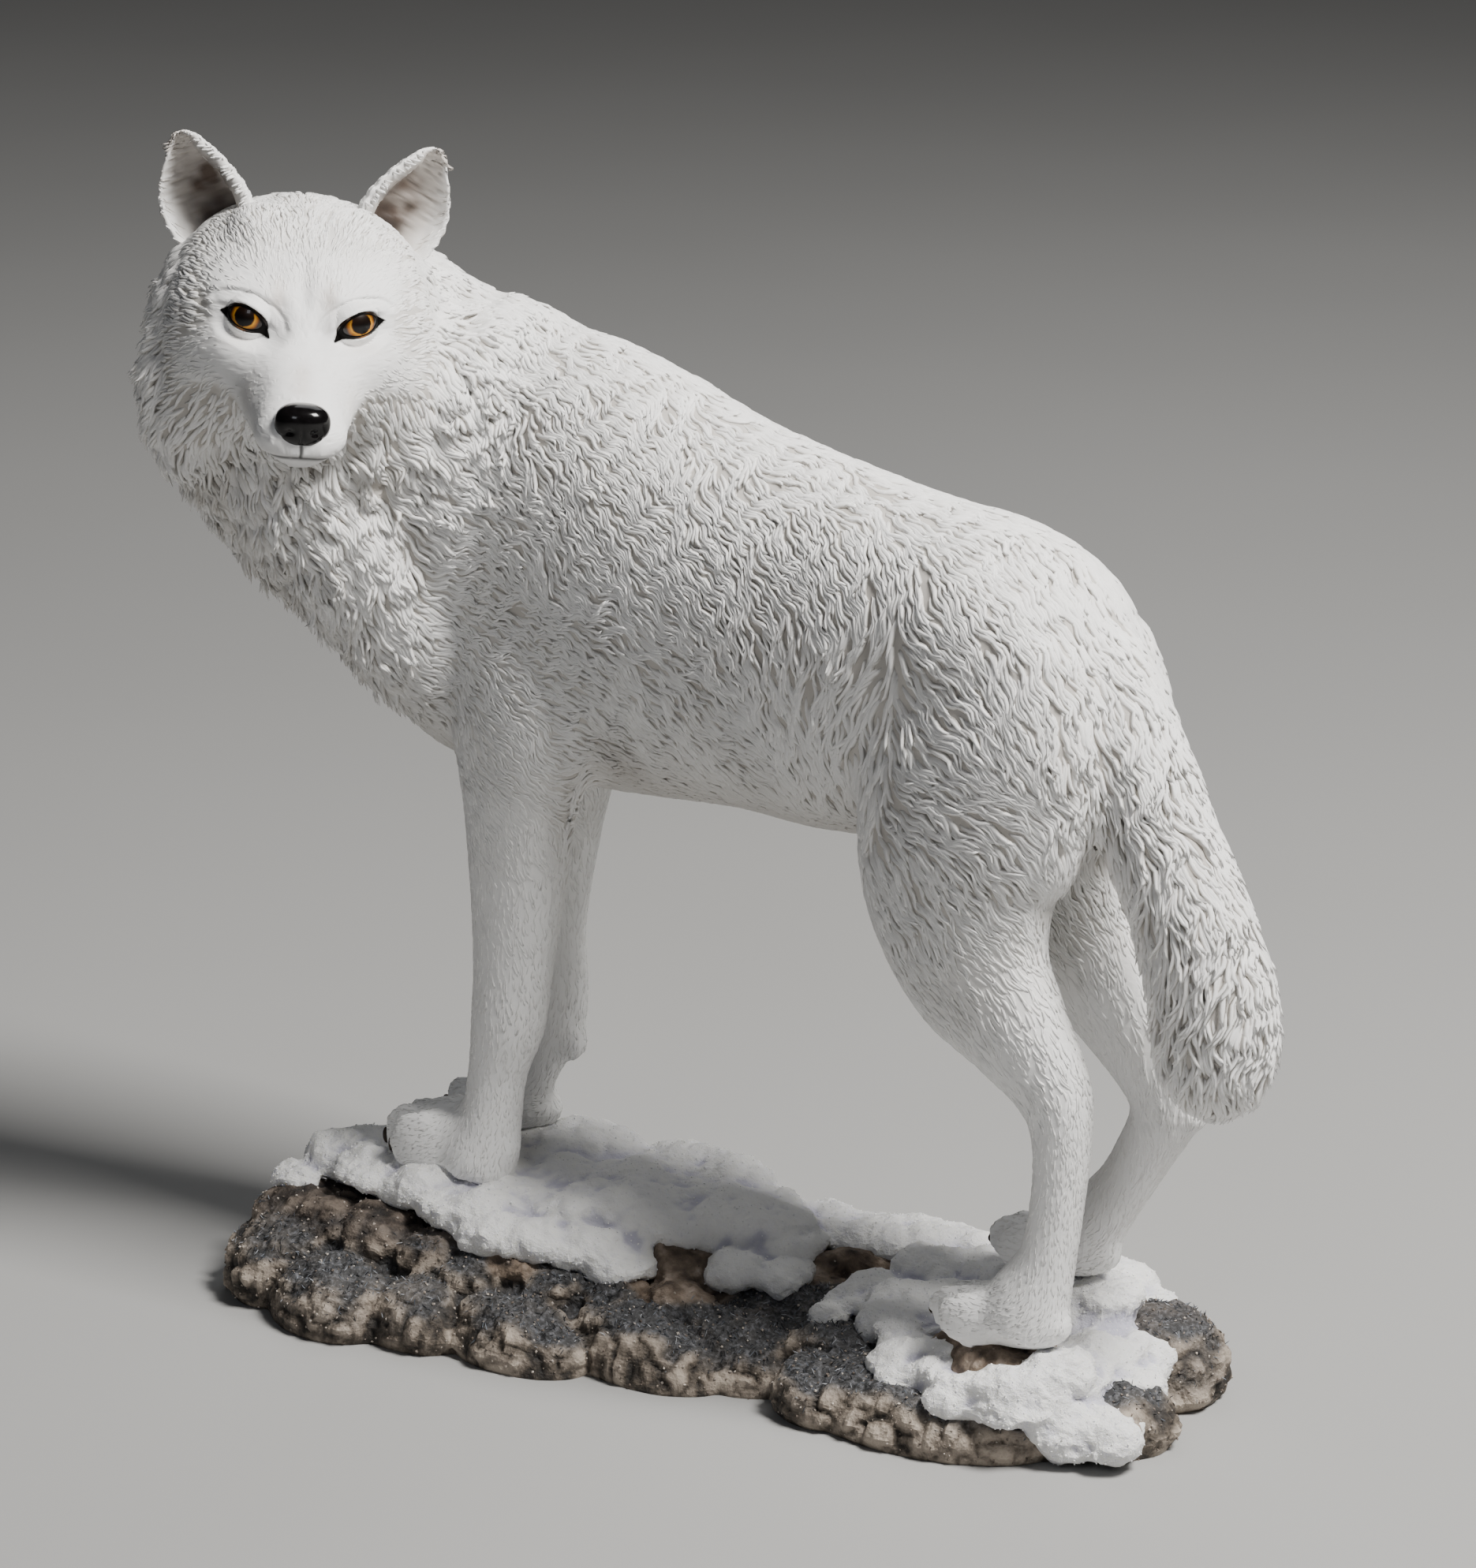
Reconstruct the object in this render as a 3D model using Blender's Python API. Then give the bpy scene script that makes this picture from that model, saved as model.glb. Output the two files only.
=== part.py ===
"""Painted resin figure of an arctic wolf on a snowy rock base, about 27 cm tall.

Metres, +Z up. The wolf faces -X with its left side towards -Y, and its head is turned over its left
shoulder. The base stands on the plane z = 0. Sizes below are in millimetres from a point under the wolf's
middle. They are turned to metres in to_metres(), and the whole is then centred over the origin.
"""

import math

import bmesh
import bpy
import numpy as np
from mathutils import Matrix, Vector

MM = 0.001
GAP = 0.3  # parting between two pieces that touch
SIDES = 28  # corners of each lofted section
RINGS_PER_SPAN = 5  # sections made between two stations

# ---------------------------------------------------------------- the head's own frame
HEAD_YAW = math.radians(41.0)  # turn of the muzzle from -Y towards +X
HEAD_ROLL = math.radians(5.0)  # lean of the head towards the wolf's left
HEAD_PLACE = Vector((-84.5, -42.5, 228.0))  # middle of the skull, level with the eyes
HEAD_FORWARD = Vector((math.sin(HEAD_YAW), -math.cos(HEAD_YAW), 0.0))
HEAD_FRAME = (
    Matrix.Translation(HEAD_PLACE)
    @ Matrix.Rotation(HEAD_YAW - math.pi / 2, 4, "Z")
    @ Matrix.Rotation(-HEAD_ROLL, 4, "X")
)  # local +X forward, +Y the wolf's left, +Z up

# ---------------------------------------------------------------- stations of the lofted forms
# Each row: centre x, y, z, half depth (in the plane of the bend), half width (across it).
TRUNK = (
    (-84, 0, 168, 26, 17),
    (-68, 0, 169, 44, 24),
    (-48, 0, 170.5, 50.5, 27),
    (-24, 0, 168.5, 48.5, 28.5),
    (2, 0, 164.5, 43, 27.5),
    (28, 0, 161, 40.5, 25.5),
    (50, 0, 160.5, 36.5, 26),
    (68, 0, 165, 29.5, 27),
    (82, 0, 166, 23.5, 24),
    (92, 0, 165, 17, 17),
    (98, 0, 164, 8, 8),
)
NECK = (
    (-34, 0, 177, 42, 24),
    (-60, -1, 179, 46, 28),
    (-83, -8, 189, 45.5, 32),
    (-95, -18, 203, 41, 36),
    (-97, -30, 215, 32, 35),
    (-93, -39, 224, 18, 20),
)
CHEST = (
    (-100, -30, 208, 26, 31),
    (-94, -27, 191, 25, 29),
    (-84, -21, 171, 24, 27),
    (-73, -12, 151, 20, 23),
    (-63, -5, 134, 13, 15),
    (-58, -3, 128, 6, 7),
)
FORELEG = (
    (-44, -14, 172, 22, 9),
    (-44, -16.5, 152, 21, 11),
    (-45.5, -16.5, 134, 18, 12),
    (-47.5, -15.5, 116, 14, 10.5),
    (-49, -15, 96, 11.5, 9),
    (-50.5, -15, 78, 9.5, 8),
    (-52, -15, 66, 8.8, 8),
    (-55, -15, 54, 6.8, 6.8),
    (-57, -15, 43, 7, 7.2),
    (-60, -15, 35, 9, 9),
    (-62, -15, 30, 9, 9),
)
FAR_FORELEG = (
    (-50, 14, 172, 20, 9),
    (-53, 16, 152, 19, 11),
    (-56, 16, 134, 15.5, 11.5),
    (-58, 15.5, 116, 12, 10),
    (-59, 15, 96, 10.5, 9),
    (-59, 15, 78, 9, 8),
    (-59, 15, 66, 8.6, 8),
    (-61.5, 15, 54, 6.8, 6.8),
    (-64, 15, 43, 7, 7.2),
    (-68, 15, 36, 9, 9),
    (-70, 15, 32, 9, 9),
)
HINDLEG = (
    (74, -11, 172, 22, 12),
    (74, -14.5, 154, 27, 14),
    (71, -16, 136, 27.5, 14.5),
    (69, -17, 119, 23.5, 13),
    (74, -17.5, 103, 18.5, 11),
    (84, -17.5, 91, 13, 9),
    (92.5, -17, 80, 9.2, 7.2),
    (95, -17, 70, 6.8, 6.2),
    (94.3, -17, 56, 6, 5.8),
    (92, -17, 43, 6.4, 6.2),
    (88, -17, 33, 9, 8),
    (85, -17, 27, 9.5, 9),
)
FAR_HINDLEG = (
    (74, 11, 172, 22, 12),
    (73, 14.5, 154, 27, 14),
    (70, 16, 138, 26.5, 14.5),
    (68, 16.5, 121, 22, 13),
    (75, 16.5, 104, 17, 11),
    (86, 16.5, 90, 12.5, 9),
    (96, 16.5, 77, 9.5, 7.4),
    (99.5, 16.5, 68, 8, 6.8),
    (95.5, 16.5, 59, 6.8, 6.2),
    (89, 16.5, 48, 6.4, 6.2),
    (81, 16.5, 38, 8, 8),
    (77, 16.5, 32, 9, 9),
)
TAIL = (
    (82, -1, 171, 12, 11),
    (92, -1, 163, 13, 11.5),
    (100, -2, 149, 13, 12),
    (109, -3, 133, 12.5, 12),
    (117, -3, 117, 13, 12.5),
    (122, -3, 102, 14, 12.5),
    (123, -3, 88, 13.2, 12),
    (120, -3, 77, 9.5, 9),
    (118, -3, 71, 3, 3),
)
# Each row of the skull and muzzle: forward of HEAD_PLACE, middle above the eye line, half height, half width.
SKULL = (
    (-30, -9, 18, 19),
    (-20, -7.5, 27.5, 29),
    (-8, -7, 29.5, 32),
    (3, -7.5, 28, 30.5),
    (11, -8.5, 23.5, 26),
    (17, -9.5, 18, 20.5),
    (22, -11, 11.5, 14),
    (26, -12, 4, 5),
)
MUZZLE = (
    (0, -12, 15, 15),
    (12, -13.5, 13.5, 13.5),
    (22, -14.8, 12.2, 12.6),
    (32, -15.8, 10.6, 11.4),
    (42, -16.4, 9.2, 10.2),
    (49, -16.8, 7.8, 9.2),
    (53, -17, 5, 6.5),
)
EAR = (
    (-2, 5.5, 10.5),
    (4, 6, 11.2),
    (10, 5.2, 9.6),
    (16, 4, 7),
    (21, 2.8, 4.2),
    (24.5, 1.4, 1.6),
)  # up the ear, half thickness, half breadth
EAR_HOLLOW = (
    (3, 2.5, 6.5),
    (7, 4, 8.2),
    (12, 3.4, 6.6),
    (17, 2.4, 4.2),
    (21, 1.2, 1.8),
)
EYE_PLACE = (17.0, 11.8, -0.8)
EYE_RADIUS = 4.6


# Each paw: heel and toe on the sole, height, half width.
PAWS = {
    "near fore": ((-50, -15, 29), (-85, -15.5, 25.5), 17, 10.5),
    "far fore": ((-59, 15, 31), (-96, 15, 29), 16, 10.5),
    "near hind": ((98, -17, 22), (64, -17.5, 19.5), 15, 9.5),
    "far hind": ((88, 16.5, 27), (57, 16, 26), 14, 9.5),
}
WOLF_TRIANGLES = 3600
ROCK_TRIANGLES = 900
SNOW_TRIANGLES = 800
# Each lump: centre, half sizes, turn in degrees.
ROCKS = (
    ((-78, -44, 7), (21, 17, 15), -10),
    ((-96, -33, 12), (18, 20, 16), 0),
    ((-58, -44, 5), (18, 13, 12), 0),
    ((-38, -43, 5), (22, 13, 12), -15),
    ((-12, -26, 6), (24, 13, 12), -10),
    ((-84, 2, 11), (24, 30, 16), 10),
    ((-40, -6, 10), (46, 36, 17), 0),
    ((-60, -26, 3), (46, 26, 9), 0),
    ((0, -14, 3), (40, 16, 8), 0),
    ((0, 4, 9), (44, 29, 14), 0),
    ((22, -10, 8), (22, 19, 12), 0),
    ((36, -13, 11), (13, 11, 11), 0),
    ((60, -16, 4), (38, 23, 12), 5),
    ((66, 14, 6), (42, 26, 14), 0),
    ((93, -2, 5), (16, 20, 11), 0),
    ((91, 24, 6), (18, 20, 13), 0),
)
SNOW = (
    ((-93, -10, 26), (15, 22, 5), 0),
    ((-80, -28, 25), (16, 16, 5), 0),
    ((-60, -20, 26), (24, 22, 6), 0),
    ((-64, 10, 25.5), (30, 18, 6), 0),
    ((-36, -32, 23), (16, 17, 5), 0),
    ((-24, -24, 22), (18, 16, 5), 0),
    ((-10, -35, 19), (14, 14, 5), 0),
    ((-30, 2, 26), (28, 22, 6), 0),
    ((-22, 16, 27), (20, 13, 6), 0),
    ((0, 0, 22.5), (24, 18, 6), 0),
    ((22, 12, 21), (26, 15, 5.5), 0),
    ((50, 16, 20), (30, 14, 6), 0),
    ((82, 12, 18), (21, 20, 6), 0),
    ((6, -14, 17.5), (15, 14, 5), 0),
    ((13, -24, 13), (11, 9, 5), 0),
    ((70, -18, 13.5), (28, 14, 5.5), 10),
    ((82, -8, 15), (20, 14, 5), 0),
    ((90, -20, 9), (13, 13, 6), 0),
)


def blended(stations, steps):
    """Rows of numbers between the stations, on a Catmull-Rom curve through them."""
    rows = np.array(stations, float)
    padded = np.vstack([2 * rows[0] - rows[1], rows, 2 * rows[-1] - rows[-2]])
    found = []
    for a, b, c, d in zip(padded, padded[1:], padded[2:], padded[3:]):
        for t in np.arange(steps) / steps:
            found.append(
                0.5
                * (2 * b + (c - a) * t + (2 * a - 5 * b + 4 * c - d) * t**2 + (3 * b - a - 3 * c + d) * t**3)
            )
    found.append(rows[-1])
    return np.array(found)


def add_loft(bm, stations, frame=Matrix.Identity(4), upright=False, sides=SIDES, steps=RINGS_PER_SPAN):
    """A closed tube through the stations. Sections lie square to the path, or upright where asked."""
    rows = blended(stations, steps)
    centres = [Vector(row[:3]) for row in rows]
    across = Vector((0, 1, 0))
    rings = []
    for i, row in enumerate(rows):
        ahead = centres[min(i + 1, len(rows) - 1)] - centres[max(i - 1, 0)]
        if upright:
            ahead = Vector((1, 0, 0))
        ahead.normalize()
        side = (across - across.dot(ahead) * ahead).normalized()
        depth = ahead.cross(side)
        turn = Matrix((depth, side, ahead)).transposed().to_4x4()
        size = Matrix.Diagonal((max(row[3], 1.0), max(row[4], 1.0), 1, 1))
        place = frame @ Matrix.Translation(centres[i]) @ turn @ size
        last = i in (0, len(rows) - 1)
        made = bmesh.ops.create_circle(bm, cap_ends=last, segments=sides, radius=1, matrix=place)
        ring_verts = set(made["verts"])
        rings.append([e for e in {e for v in ring_verts for e in v.link_edges} if set(e.verts) <= ring_verts])
    for one, two in zip(rings, rings[1:]):
        bmesh.ops.bridge_loops(bm, edges=one + two)


def add_lump(bm, centre, size, frame=Matrix.Identity(4), turn=0.0):
    """An ellipsoid of the given half sizes, turned about its own upright axis."""
    place = frame @ Matrix.Translation(centre) @ Matrix.Rotation(turn, 4, "Z") @ Matrix.Diagonal((*size, 1))
    bmesh.ops.create_icosphere(bm, subdivisions=3, radius=1, matrix=place)


def linked(name, mesh):
    obj = bpy.data.objects.new(name, mesh)
    bpy.context.scene.collection.objects.link(obj)
    return obj


def to_metres(name, bm):
    """An object in metres from a form worked out in millimetres."""
    bmesh.ops.recalc_face_normals(bm, faces=bm.faces)
    bmesh.ops.scale(bm, vec=(MM, MM, MM), verts=bm.verts)
    mesh = bpy.data.meshes.new(name)
    bm.to_mesh(mesh)
    bm.free()
    return linked(name, mesh)


def settled(obj):
    """Make the modifiers' result the object's own mesh."""
    bpy.context.view_layer.update()
    graph = bpy.context.evaluated_depsgraph_get()
    mesh = bpy.data.meshes.new_from_object(obj.evaluated_get(graph))
    obj.modifiers.clear()
    obj.data = mesh
    return obj


def fused(obj, voxel, rounds, triangles):
    """One closed skin round all the forms of an object, softened, with about this many triangles."""
    remesh = obj.modifiers.new("one skin", "REMESH")
    remesh.mode = "VOXEL"
    remesh.voxel_size = voxel * MM
    soften = obj.modifiers.new("soften", "SMOOTH")
    soften.factor = 0.5
    soften.iterations = rounds
    settled(obj)
    thin = obj.modifiers.new("thin out", "DECIMATE")
    thin.ratio = triangles / sum(len(face.vertices) - 2 for face in obj.data.polygons)
    return settled(obj)


def copy_of(obj, name):
    return linked(name, obj.data.copy())


def carved(obj, cutter, operation):
    """Boolean of two objects, done at once."""
    modifier = obj.modifiers.new("carve", "BOOLEAN")
    modifier.operation = operation
    modifier.solver = "EXACT"
    modifier.object = cutter
    return settled(obj)


def swollen(obj, name, by):
    """A helper copy that stands out from the object by this much all over."""
    bigger = copy_of(obj, name)
    push = bigger.modifiers.new("swell", "DISPLACE")
    push.strength = by * MM
    push.mid_level = 0.0
    return settled(bigger)


def drop(*helpers):
    for helper in helpers:
        bpy.data.objects.remove(helper)


def largest_piece(obj):
    """Leave only the biggest closed body of the mesh, so that no crumb of a cut stays."""
    bm = bmesh.new()
    bm.from_mesh(obj.data)
    left = set(bm.verts)
    bodies = []
    while left:
        body = {left.pop()}
        edge = set(body)
        while edge:
            edge = {e.other_vert(v) for v in edge for e in v.link_edges} - body
            body |= edge
        left -= body
        bodies.append(body)
    bodies.sort(key=len)
    crumbs = [v for body in bodies[:-1] for v in body]
    bmesh.ops.delete(bm, geom=crumbs, context="VERTS")
    bm.to_mesh(obj.data)
    bm.free()
    return obj


def region(name, planes, grow, frame=Matrix.Identity(4)):
    """A convex block kept behind every plane (a point and the direction that faces out of the block)."""
    bm = bmesh.new()
    bmesh.ops.create_cube(bm, size=600)
    for point, outward in planes:
        normal = Vector(outward).normalized()
        cut = bmesh.ops.bisect_plane(
            bm,
            geom=bm.verts[:] + bm.edges[:] + bm.faces[:],
            plane_co=Vector(point) + normal * grow,
            plane_no=normal,
            clear_outer=True,
        )
        bmesh.ops.edgeloop_fill(bm, edges=[e for e in cut["geom_cut"] if isinstance(e, bmesh.types.BMEdge)])
    bmesh.ops.transform(bm, matrix=frame, verts=bm.verts)
    return to_metres(name, bm)


# ---------------------------------------------------------------- where the wolf is parted into its pieces
HEAD_CUT = (
    ((0, 0, -22), (-0.55, 0, -0.84)),
    ((0, 34.5, 0), (-0.1, 0.97, -0.2)),
    ((0, -40, 0), (0, -1, 0)),
)
NECK_CUT = (((-70, 0, 172), (0.85, 0, -0.53)),)
TAIL_CUT = (
    ((95, 0, 182), (-1, 0, -0.06)),
    ((99, 0, 117), (-1, 0, -0.1)),
    ((0, 9, 0), (0, 1, 0)),
    ((0, -18, 0), (0, -1, 0)),
    ((0, 0, 66), (0, 0, -1)),
)
FORE_PAW_TOP = 44.0
HIND_PAW_TOP = 42.0


def fore_cut(side):
    return (
        ((0, 0.8 * side, 0), (0, -side, 0)),
        ((-46, 0, 119), (0, 0, 1)),
        ((-14, 0, 0), (1, 0, 0)),
        ((0, 0, FORE_PAW_TOP), (0, 0, -1)),
    )


def hind_cut(side):
    return (
        ((0, side, 127), (0, -0.73 * side, 0.68)),
        ((41, 0, 122), (-0.938, 0, 0.346)),
        ((0, 0.8 * side, 0), (0, -side, 0)),
        ((0, 0, HIND_PAW_TOP), (0, 0, -1)),
    )


def paw_cut(side, fore):
    return (
        ((0, 0.8 * side, 0), (0, -side, 0)),
        ((0, 0, FORE_PAW_TOP if fore else HIND_PAW_TOP), (0, 0, 1)),
        ((0, 0, 0), (1, 0, 0) if fore else (-1, 0, 0)),
    )


# ---------------------------------------------------------------- the wolf's forms
def add_paw(bm, heel, toe, height, half_width):
    """A foot from heel to toe: a pad with four toes spread round its front. Both ends are on its sole."""
    heel, toe = Vector(heel), Vector(toe)
    along = toe - heel
    yaw = math.atan2(along.y, along.x)
    middle = heel.lerp(toe, 0.42) + Vector((0, 0, 0.42 * height))
    add_lump(bm, middle, (0.46 * along.length, half_width * 0.85, 0.5 * height), turn=yaw)
    for place, reach in ((-0.78, 0.80), (-0.28, 0.97), (0.28, 1.0), (0.78, 0.83)):
        across = Vector((-math.sin(yaw), math.cos(yaw), 0)) * place * half_width
        centre = heel.lerp(toe, reach - 0.2) + across + Vector((0, 0, 0.36 * height))
        add_lump(bm, centre, (0.24 * along.length, 0.29 * half_width, 0.40 * height), turn=yaw + 0.25 * place)


def make_wolf():
    bm = bmesh.new()
    add_loft(bm, TRUNK, upright=True)
    for stations in (NECK, CHEST, TAIL, FORELEG, FAR_FORELEG, HINDLEG, FAR_HINDLEG):
        add_loft(bm, stations)
    for rows in (SKULL, MUZZLE):
        add_loft(bm, [(x, 0, z, tall, wide) for x, z, tall, wide in rows], HEAD_FRAME, upright=True)
    for heel, toe, height, half_width in PAWS.values():
        add_paw(bm, heel, toe, height, half_width)
    add_lump(bm, (105.5, 16.5, 68), (4.5, 4.5, 4.5))  # point of the far hock
    return fused(to_metres("wolf", bm), 1.6, 6, WOLF_TRIANGLES)


def make_ear(side, head):
    """A cupped ear that opens forwards, with its root trimmed to the skull."""
    root = Vector((-9, 18 * side, 11))
    up = Vector((-3.5, 9 * side, 18.5)).normalized()
    breadth = Vector((0, 15.5 * side, -15)).normalized()
    breadth = (breadth - breadth.dot(up) * up).normalized()
    facing = breadth.cross(up) * side
    frame = HEAD_FRAME @ Matrix.Translation(root) @ Matrix((facing, breadth, up)).transposed().to_4x4()
    name = "ear_left" if side > 0 else "ear_right"
    bm = bmesh.new()
    add_loft(bm, [(0, 0, h, deep, wide) for h, deep, wide in EAR], frame, sides=10, steps=2)
    ear = to_metres(name, bm)
    bm = bmesh.new()
    add_loft(bm, [(4.2, 0, h, deep, wide) for h, deep, wide in EAR_HOLLOW], frame, sides=10, steps=2)
    hollow = to_metres("ear_hollow", bm)
    carved(ear, hollow, "DIFFERENCE")
    carved(ear, head, "DIFFERENCE")
    drop(hollow)
    return largest_piece(ear)


def ball(name, centre, radius, frame):
    bm = bmesh.new()
    bmesh.ops.create_uvsphere(
        bm, u_segments=12, v_segments=8, radius=radius, matrix=frame @ Matrix.Translation(centre)
    )
    return to_metres(name, bm)


def make_nose(name, grow):
    """The nose pad: a rounded block on the end of the muzzle."""
    bm = bmesh.new()
    size = (4.4 + grow, 6.2 + grow, 4.9 + grow)
    place = HEAD_FRAME @ Matrix.Translation((50.6, 0, -12.6)) @ Matrix.Diagonal((*size, 1))
    bmesh.ops.create_cube(bm, size=1.7, matrix=place)
    bmesh.ops.bevel(bm, geom=bm.edges[:], offset=2.6, segments=2, affect="EDGES", profile=0.5)
    return to_metres(name, bm)


# ---------------------------------------------------------------- parting the wolf
def parted(body, name, planes, *without, frame=Matrix.Identity(4)):
    """The part of the body in a region, with any larger neighbours' regions taken off it."""
    piece = copy_of(body, name)
    block = region("block", planes, -GAP / 2, frame)
    carved(piece, block, "INTERSECT")
    drop(block)
    for other in without:
        carved(piece, other, "DIFFERENCE")
    return largest_piece(piece)


def part_wolf(body):
    """Every piece of the wolf as its own closed solid, with the trunk as what is left."""
    head_block = region("head_block", HEAD_CUT, GAP / 2, HEAD_FRAME)
    tail_block = region("tail_block", TAIL_CUT, GAP / 2)
    blocks = [head_block, tail_block, region("neck_block", NECK_CUT, GAP / 2)]
    pieces = [
        parted(body, "head", HEAD_CUT, frame=HEAD_FRAME),
        parted(body, "neck", NECK_CUT, head_block),
        parted(body, "tail", TAIL_CUT),
    ]
    for word, side in (("left", -1), ("right", 1)):
        pieces.append(parted(body, "foreleg_" + word, fore_cut(side)))
        pieces.append(parted(body, "hindleg_" + word, hind_cut(side), tail_block))
        pieces.append(parted(body, "forepaw_" + word, paw_cut(side, True)))
        pieces.append(parted(body, "hindpaw_" + word, paw_cut(side, False)))
        upper_fore = fore_cut(side)[:3]
        upper_hind = hind_cut(side)[:3]
        blocks.append(region("fore_block", upper_fore, GAP / 2))
        blocks.append(region("hind_block", upper_hind, GAP / 2))
    body.name = "trunk"
    for block in blocks:
        carved(body, block, "DIFFERENCE")
    drop(*blocks)
    pieces.append(largest_piece(body))
    return {piece.name: piece for piece in pieces}


# ---------------------------------------------------------------- the base
def make_rock():
    bm = bmesh.new()
    for centre, size, turn in ROCKS:
        add_lump(bm, centre, size, turn=math.radians(turn))
    rock = fused(to_metres("rock_base", bm), 1.8, 3, ROCK_TRIANGLES)
    floor = region("floor", (((0, 0, 0), (0, 0, 1)),), 0)
    carved(rock, floor, "DIFFERENCE")
    drop(floor)
    return rock


def make_snow():
    bm = bmesh.new()
    for centre, size, turn in SNOW:
        add_lump(bm, centre, size, turn=math.radians(turn))
    return fused(to_metres("snow_cover", bm), 1.6, 4, SNOW_TRIANGLES)


# ---------------------------------------------------------------- surfaces
PAINTS = {
    "coat": ((0.76, 0.75, 0.72), 0.62),
    "face": ((0.80, 0.79, 0.76), 0.6),
    "ear": ((0.70, 0.67, 0.63), 0.62),
    "eye": ((0.20, 0.10, 0.03), 0.15),
    "nose": ((0.03, 0.025, 0.025), 0.3),
    "paw": ((0.78, 0.77, 0.74), 0.62),
    "rock": ((0.17, 0.14, 0.12), 0.85),
    "snow": ((0.84, 0.84, 0.86), 0.8),
}


def paint(obj, kind):
    """A painted resin surface of its own for each piece."""
    colour, roughness = PAINTS[kind]
    material = bpy.data.materials.new(obj.name + "_paint")
    material.use_nodes = True
    shader = material.node_tree.nodes["Principled BSDF"]
    shader.inputs["Base Color"].default_value = (*colour, 1)
    shader.inputs["Roughness"].default_value = roughness
    obj.data.materials.clear()
    obj.data.materials.append(material)


def kind_of(name):
    first = name.split("_")[0]
    kinds = {"head": "face", "ear": "ear", "eye": "eye", "nose": "nose", "rock": "rock", "snow": "snow"}
    return "paw" if "paw" in first else kinds.get(first, "coat")


def centre_over_origin():
    """Shift every piece alike, so that the origin is under the middle of the whole."""
    points = [vertex.co for obj in bpy.data.objects for vertex in obj.data.vertices]
    shift = Matrix.Identity(4)
    for axis in (0, 1):
        values = [point[axis] for point in points]
        shift[axis][3] = -0.5 * (min(values) + max(values))
    for obj in bpy.data.objects:
        obj.data.transform(shift)


def main():
    for old in list(bpy.data.objects):
        bpy.data.objects.remove(old)
    wolf = make_wolf()
    pieces = part_wolf(wolf)
    head = pieces["head"]
    for word, side in (("left", 1), ("right", -1)):
        x, y, z = EYE_PLACE
        eye = ball("eye_" + word, (x, y * side, z), EYE_RADIUS, HEAD_FRAME)
        socket = ball("socket", (x, y * side, z), EYE_RADIUS + GAP, HEAD_FRAME)
        carved(head, socket, "DIFFERENCE")
        drop(socket)
        pieces[eye.name] = eye
    nose_room = make_nose("nose_room", GAP)
    carved(head, nose_room, "DIFFERENCE")
    drop(nose_room)
    pieces["nose"] = make_nose("nose", 0)
    skull = swollen(head, "skull", GAP)
    neck = swollen(pieces["neck"], "nape", GAP)
    for side in (1, -1):
        ear = make_ear(side, skull)
        carved(ear, neck, "DIFFERENCE")
        pieces[ear.name] = largest_piece(ear)
    drop(skull, neck)
    snow = make_snow()
    for name in ("forepaw_left", "forepaw_right", "hindpaw_left", "hindpaw_right"):
        print_ = swollen(pieces[name], "paw_print", GAP)
        carved(snow, print_, "DIFFERENCE")
        drop(print_)
    largest_piece(snow)
    rock = make_rock()
    snow_room = swollen(snow, "snow_room", GAP)
    carved(rock, snow_room, "DIFFERENCE")
    drop(snow_room)
    for name in ("forepaw_left", "forepaw_right", "hindpaw_left", "hindpaw_right"):
        print_ = swollen(pieces[name], "paw_print", GAP)
        carved(rock, print_, "DIFFERENCE")
        drop(print_)
    largest_piece(rock)
    for obj in bpy.data.objects:
        paint(obj, kind_of(obj.name))
    centre_over_origin()


if __name__ == "__main__":
    main()
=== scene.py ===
"""The dressed wolf figurine: painted skin and sculpted coat, face, ears, eyes and nose, on its snowy rock.

Forms are worked out in millimetres with numpy, in the frame that the solids share, and become metres when
a mesh is made.
"""

import math
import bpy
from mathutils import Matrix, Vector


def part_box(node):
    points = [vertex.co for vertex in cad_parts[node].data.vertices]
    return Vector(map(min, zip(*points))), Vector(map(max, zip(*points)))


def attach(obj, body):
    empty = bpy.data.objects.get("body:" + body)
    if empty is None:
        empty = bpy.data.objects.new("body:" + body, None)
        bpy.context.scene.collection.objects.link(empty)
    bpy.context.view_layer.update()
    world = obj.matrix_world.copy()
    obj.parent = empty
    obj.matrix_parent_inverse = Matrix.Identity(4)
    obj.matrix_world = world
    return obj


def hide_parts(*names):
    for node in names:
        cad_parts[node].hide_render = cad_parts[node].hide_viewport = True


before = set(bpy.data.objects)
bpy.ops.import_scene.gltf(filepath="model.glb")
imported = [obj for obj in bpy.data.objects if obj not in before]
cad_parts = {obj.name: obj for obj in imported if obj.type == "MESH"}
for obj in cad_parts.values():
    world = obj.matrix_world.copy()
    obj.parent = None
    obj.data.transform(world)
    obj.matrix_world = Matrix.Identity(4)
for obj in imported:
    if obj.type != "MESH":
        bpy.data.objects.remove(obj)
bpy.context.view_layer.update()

from types import SimpleNamespace

import bmesh
import bpy
import numpy as np
from mathutils import Vector

MM = 0.001

# ======== where things are
HEAD_YAW = math.radians(41.8)  # turn of the muzzle from -Y towards +X
HEAD_LEAN = math.radians(5.0)  # lean of the head towards the wolf's left
EYE_SEAT = np.array((17.0, 11.8, -0.8))  # an eye's middle in the head's own frame
HEAD_IN_BODY = np.array((-84.5, -42.5, 228.0))  # middle of the skull in the body's own frame


def middle_of(node):
    """Middle of a CAD node's box, in millimetres."""
    low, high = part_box(node)
    return (np.array(low) + np.array(high)) / 2 / MM


def turning(angle, axis):
    """Rotation matrix by an angle about axis 0, 1 or 2."""
    c, s = math.cos(angle), math.sin(angle)
    one, two = [k for k in (0, 1, 2) if k != axis]
    turn = np.eye(3)
    turn[one, one] = turn[two, two] = c
    turn[one, two], turn[two, one] = (-s, s) if axis != 1 else (s, -s)
    return turn


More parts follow.
